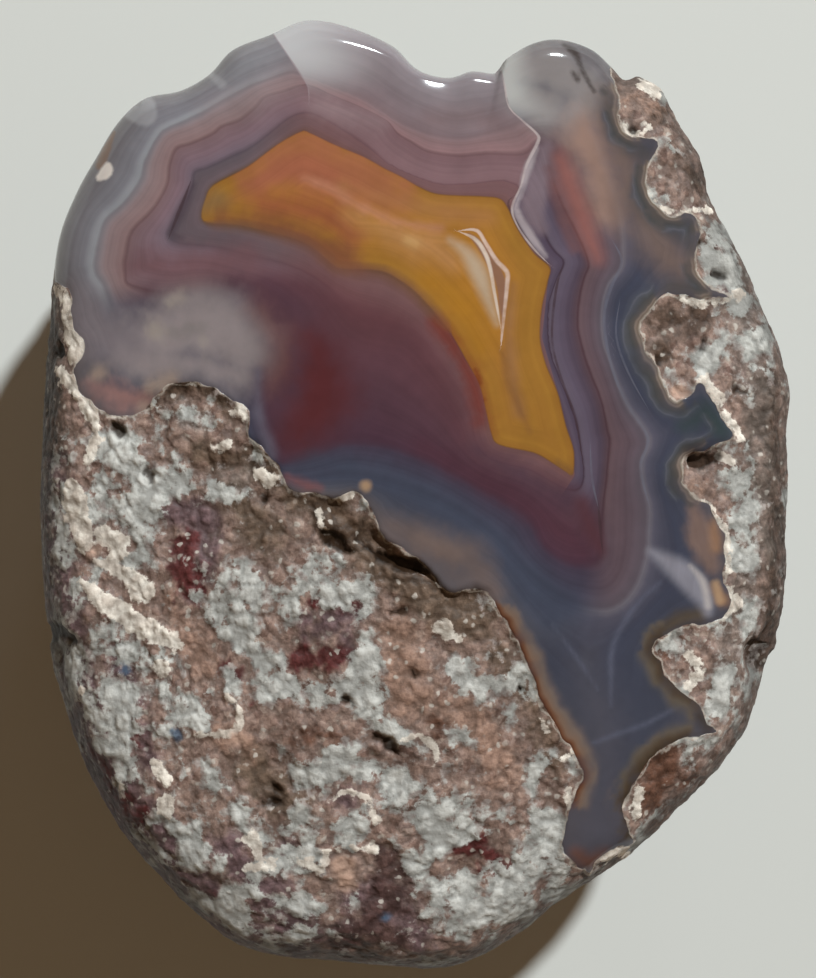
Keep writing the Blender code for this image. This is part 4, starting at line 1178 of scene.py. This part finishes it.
def rind_colour(p):
    """The natural outside of the agate: grey brown grains with rust and pale chips, with painted shade between the
    grains and painted light on their tops.
    """
    fine = p.math("SUBTRACT", p.noise(0.45, 4.0, 0.7, seed=15), 0.5)
    medium = p.math("SUBTRACT", p.noise(1.6, 3.0, 0.6, seed=14), 0.5)
    gaps, chance = p.cells(0.7, 0.6)
    level = p.math("MULTIPLY_ADD", fine, 0.9, p.attribute("lump"))
    level = p.math("MULTIPLY_ADD", gaps, -0.3, level)
    colour = p.mix(p.smooth(chance, 0.2, 0.8), tone((108, 93, 85)), tone((146, 128, 117)))
    colour = p.mix(p.smooth(medium, -0.15, 0.15), colour, tone((124, 108, 99)))
    rust = p.math("ADD", p.noise(2.4, 3.0, seed=16), p.math("MULTIPLY", fine, 0.5))
    colour = p.mix(p.smooth(rust, 0.54, 0.64, 0.0, 0.5), colour, tone((142, 96, 72)))
    coat = p.math("MULTIPLY_ADD", fine, 1.7, p.attribute("coat"))
    coat = p.math("MULTIPLY_ADD", medium, 1.6, coat)
    colour = p.mix(p.smooth(coat, 0.0, 0.3, 0.0, 0.75), colour, tone((172, 166, 160)))
    # Painted shade and light: darker where the level is low between grains, lighter on their tops
    return p.brighten(colour, level, 0.62, 1.2, -0.1, 0.7), level


def finish(p, colour, roughness, level=None, share=None):
    """The colour and roughness on the shader, and the level as fine relief where the surface is rough."""
    p.links.new(colour, p.shader.inputs["Base Color"])
    p.set(p.shader.inputs["Roughness"], roughness)
    if level is not None:
        bump = p.nodes.new("ShaderNodeBump")
        bump.inputs["Distance"].default_value = BUMP_HEIGHT * MM
        bump.inputs["Strength"].default_value = 1.0
        p.set(bump.inputs["Height"], p.math("MULTIPLY", level, share) if share else level)
        p.links.new(bump.outputs["Normal"], p.shader.inputs["Normal"])
    return p.material


def agate_waver(p):
    """Small noise about 0 that makes the edges of the agate's markings uneven."""
    return p.math("MULTIPLY_ADD", p.noise(1.5, 3.0, 0.6, seed=3), 2.0, -1.0)


def whole_agate(p, waver):
    agate = crack_colour(p, agate_colour(p, waver), waver)
    core_share = p.smooth(p.math("MULTIPLY_ADD", waver, 0.35, p.attribute("core")), -1.0, 1.0)
    return p.mix(core_share, agate, core_colour(p, waver))


def glow(p):
    p.shader.inputs["Subsurface Weight"].default_value = TRANSLUCENCY
    p.shader.inputs["Subsurface Radius"].default_value = GLOW_REACH
    p.shader.inputs["Subsurface Scale"].default_value = MM


def agate_material():
    p = Painter("polished_agate")
    glow(p)
    return finish(p, whole_agate(p, agate_waver(p)), POLISH)


def rock_material():
    p = Painter("host_rock")
    colour, level = rock_colour(p)
    return finish(p, colour, ROCK_ROUGHNESS, level)


def rind_material():
    p = Painter("rind")
    colour, level = rind_colour(p)
    return finish(p, colour, ROCK_ROUGHNESS, level)


def meeting_material():
    """Where agate, rock and rind run into each other."""
    p = Painter("where_they_meet")
    waver = agate_waver(p)
    rock, level = rock_colour(p)
    rind, _ = rind_colour(p)
    outside = p.smooth(p.math("MULTIPLY_ADD", waver, 2.0, p.attribute("block")), -1.5, 1.5)
    worn = p.smooth(p.math("MULTIPLY_ADD", waver, 0.8, p.attribute("below")), RIND_START - 0.2, RIND_START + 0.5)
    contact = p.math("MULTIPLY_ADD", waver, 0.12, p.attribute("contact"))
    rock_share = p.smooth(contact, -0.04, 0.05)
    colour = p.mix(rock_share, whole_agate(p, waver), rock)
    colour = p.mix(worn, colour, p.mix(outside, rind, rock))
    rough_share = p.math("MAXIMUM", rock_share, worn)
    glow(p)
    return finish(p, colour, p.blend(rough_share, POLISH, ROCK_ROUGHNESS), level, rough_share)


def build_floor():
    bpy.ops.mesh.primitive_plane_add(size=FLOOR_SIZE)
    floor = bpy.context.object
    floor.name = "floor"
    material = bpy.data.materials.new("pale_floor")
    material.use_nodes = True
    shader = material.node_tree.nodes["Principled BSDF"]
    shader.inputs["Base Color"].default_value = tone(FLOOR_COLOUR)
    shader.inputs["Roughness"].default_value = 0.9
    floor.data.materials.append(material)


def build_lights():
    """A key for light and shade, a low lamp for the glints along the upper rim, and a warm even fill."""
    for name, (azimuth, elevation, distance, size, power, kind) in LAMPS.items():
        lamp = bpy.data.lights.new(name, "AREA")
        lamp.shape = "DISK"
        lamp.size = size
        lamp.energy = power
        lamp.color = KEY_COLOUR
        holder = bpy.data.objects.new(name, lamp)
        round_, up = math.radians(azimuth), math.radians(elevation)
        direction = Vector((math.cos(round_) * math.cos(up), math.sin(round_) * math.cos(up), math.sin(up)))
        holder.location = direction * distance
        holder.rotation_euler = direction.to_track_quat("Z", "Y").to_euler()
        holder.visible_diffuse = kind == "diffuse"
        holder.visible_glossy = kind == "glossy"
        bpy.context.scene.collection.objects.link(holder)
    world = bpy.data.worlds.new("studio")
    world.use_nodes = True
    world.node_tree.nodes["Background"].inputs["Color"].default_value = FILL_COLOUR
    world.node_tree.nodes["Background"].inputs["Strength"].default_value = FILL_STRENGTH
    bpy.context.scene.world = world
    bpy.context.scene.view_settings.view_transform = "Standard"


def build_camera():
    """Straight above the stone, so near that it sees the plane of the widest outline at the photograph's scale."""
    camera = bpy.data.cameras.new("camera")
    view_height = PHOTO_SIZE[1] / PIXELS_PER_MM
    camera.lens = SENSOR * CAMERA_HEIGHT / view_height
    camera.sensor_width = SENSOR
    camera.clip_start = 0.01
    viewer = bpy.data.objects.new("camera", camera)
    axis = face_mm([CAMERA_AXIS])[0]
    viewer.location = Vector((*axis, CAMERA_HEIGHT + BACK_DEPTH - FLAT_CUT)) * MM
    bpy.context.scene.collection.objects.link(viewer)
    bpy.context.scene.camera = viewer


noise.seed_set(FACET_SEED)
stone = build_stone()
for material in (agate_material(), rock_material(), rind_material(), meeting_material()):
    stone.data.materials.append(material)
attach(stone, "root")
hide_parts("agate_nodule")
build_floor()
build_lights()
build_camera()
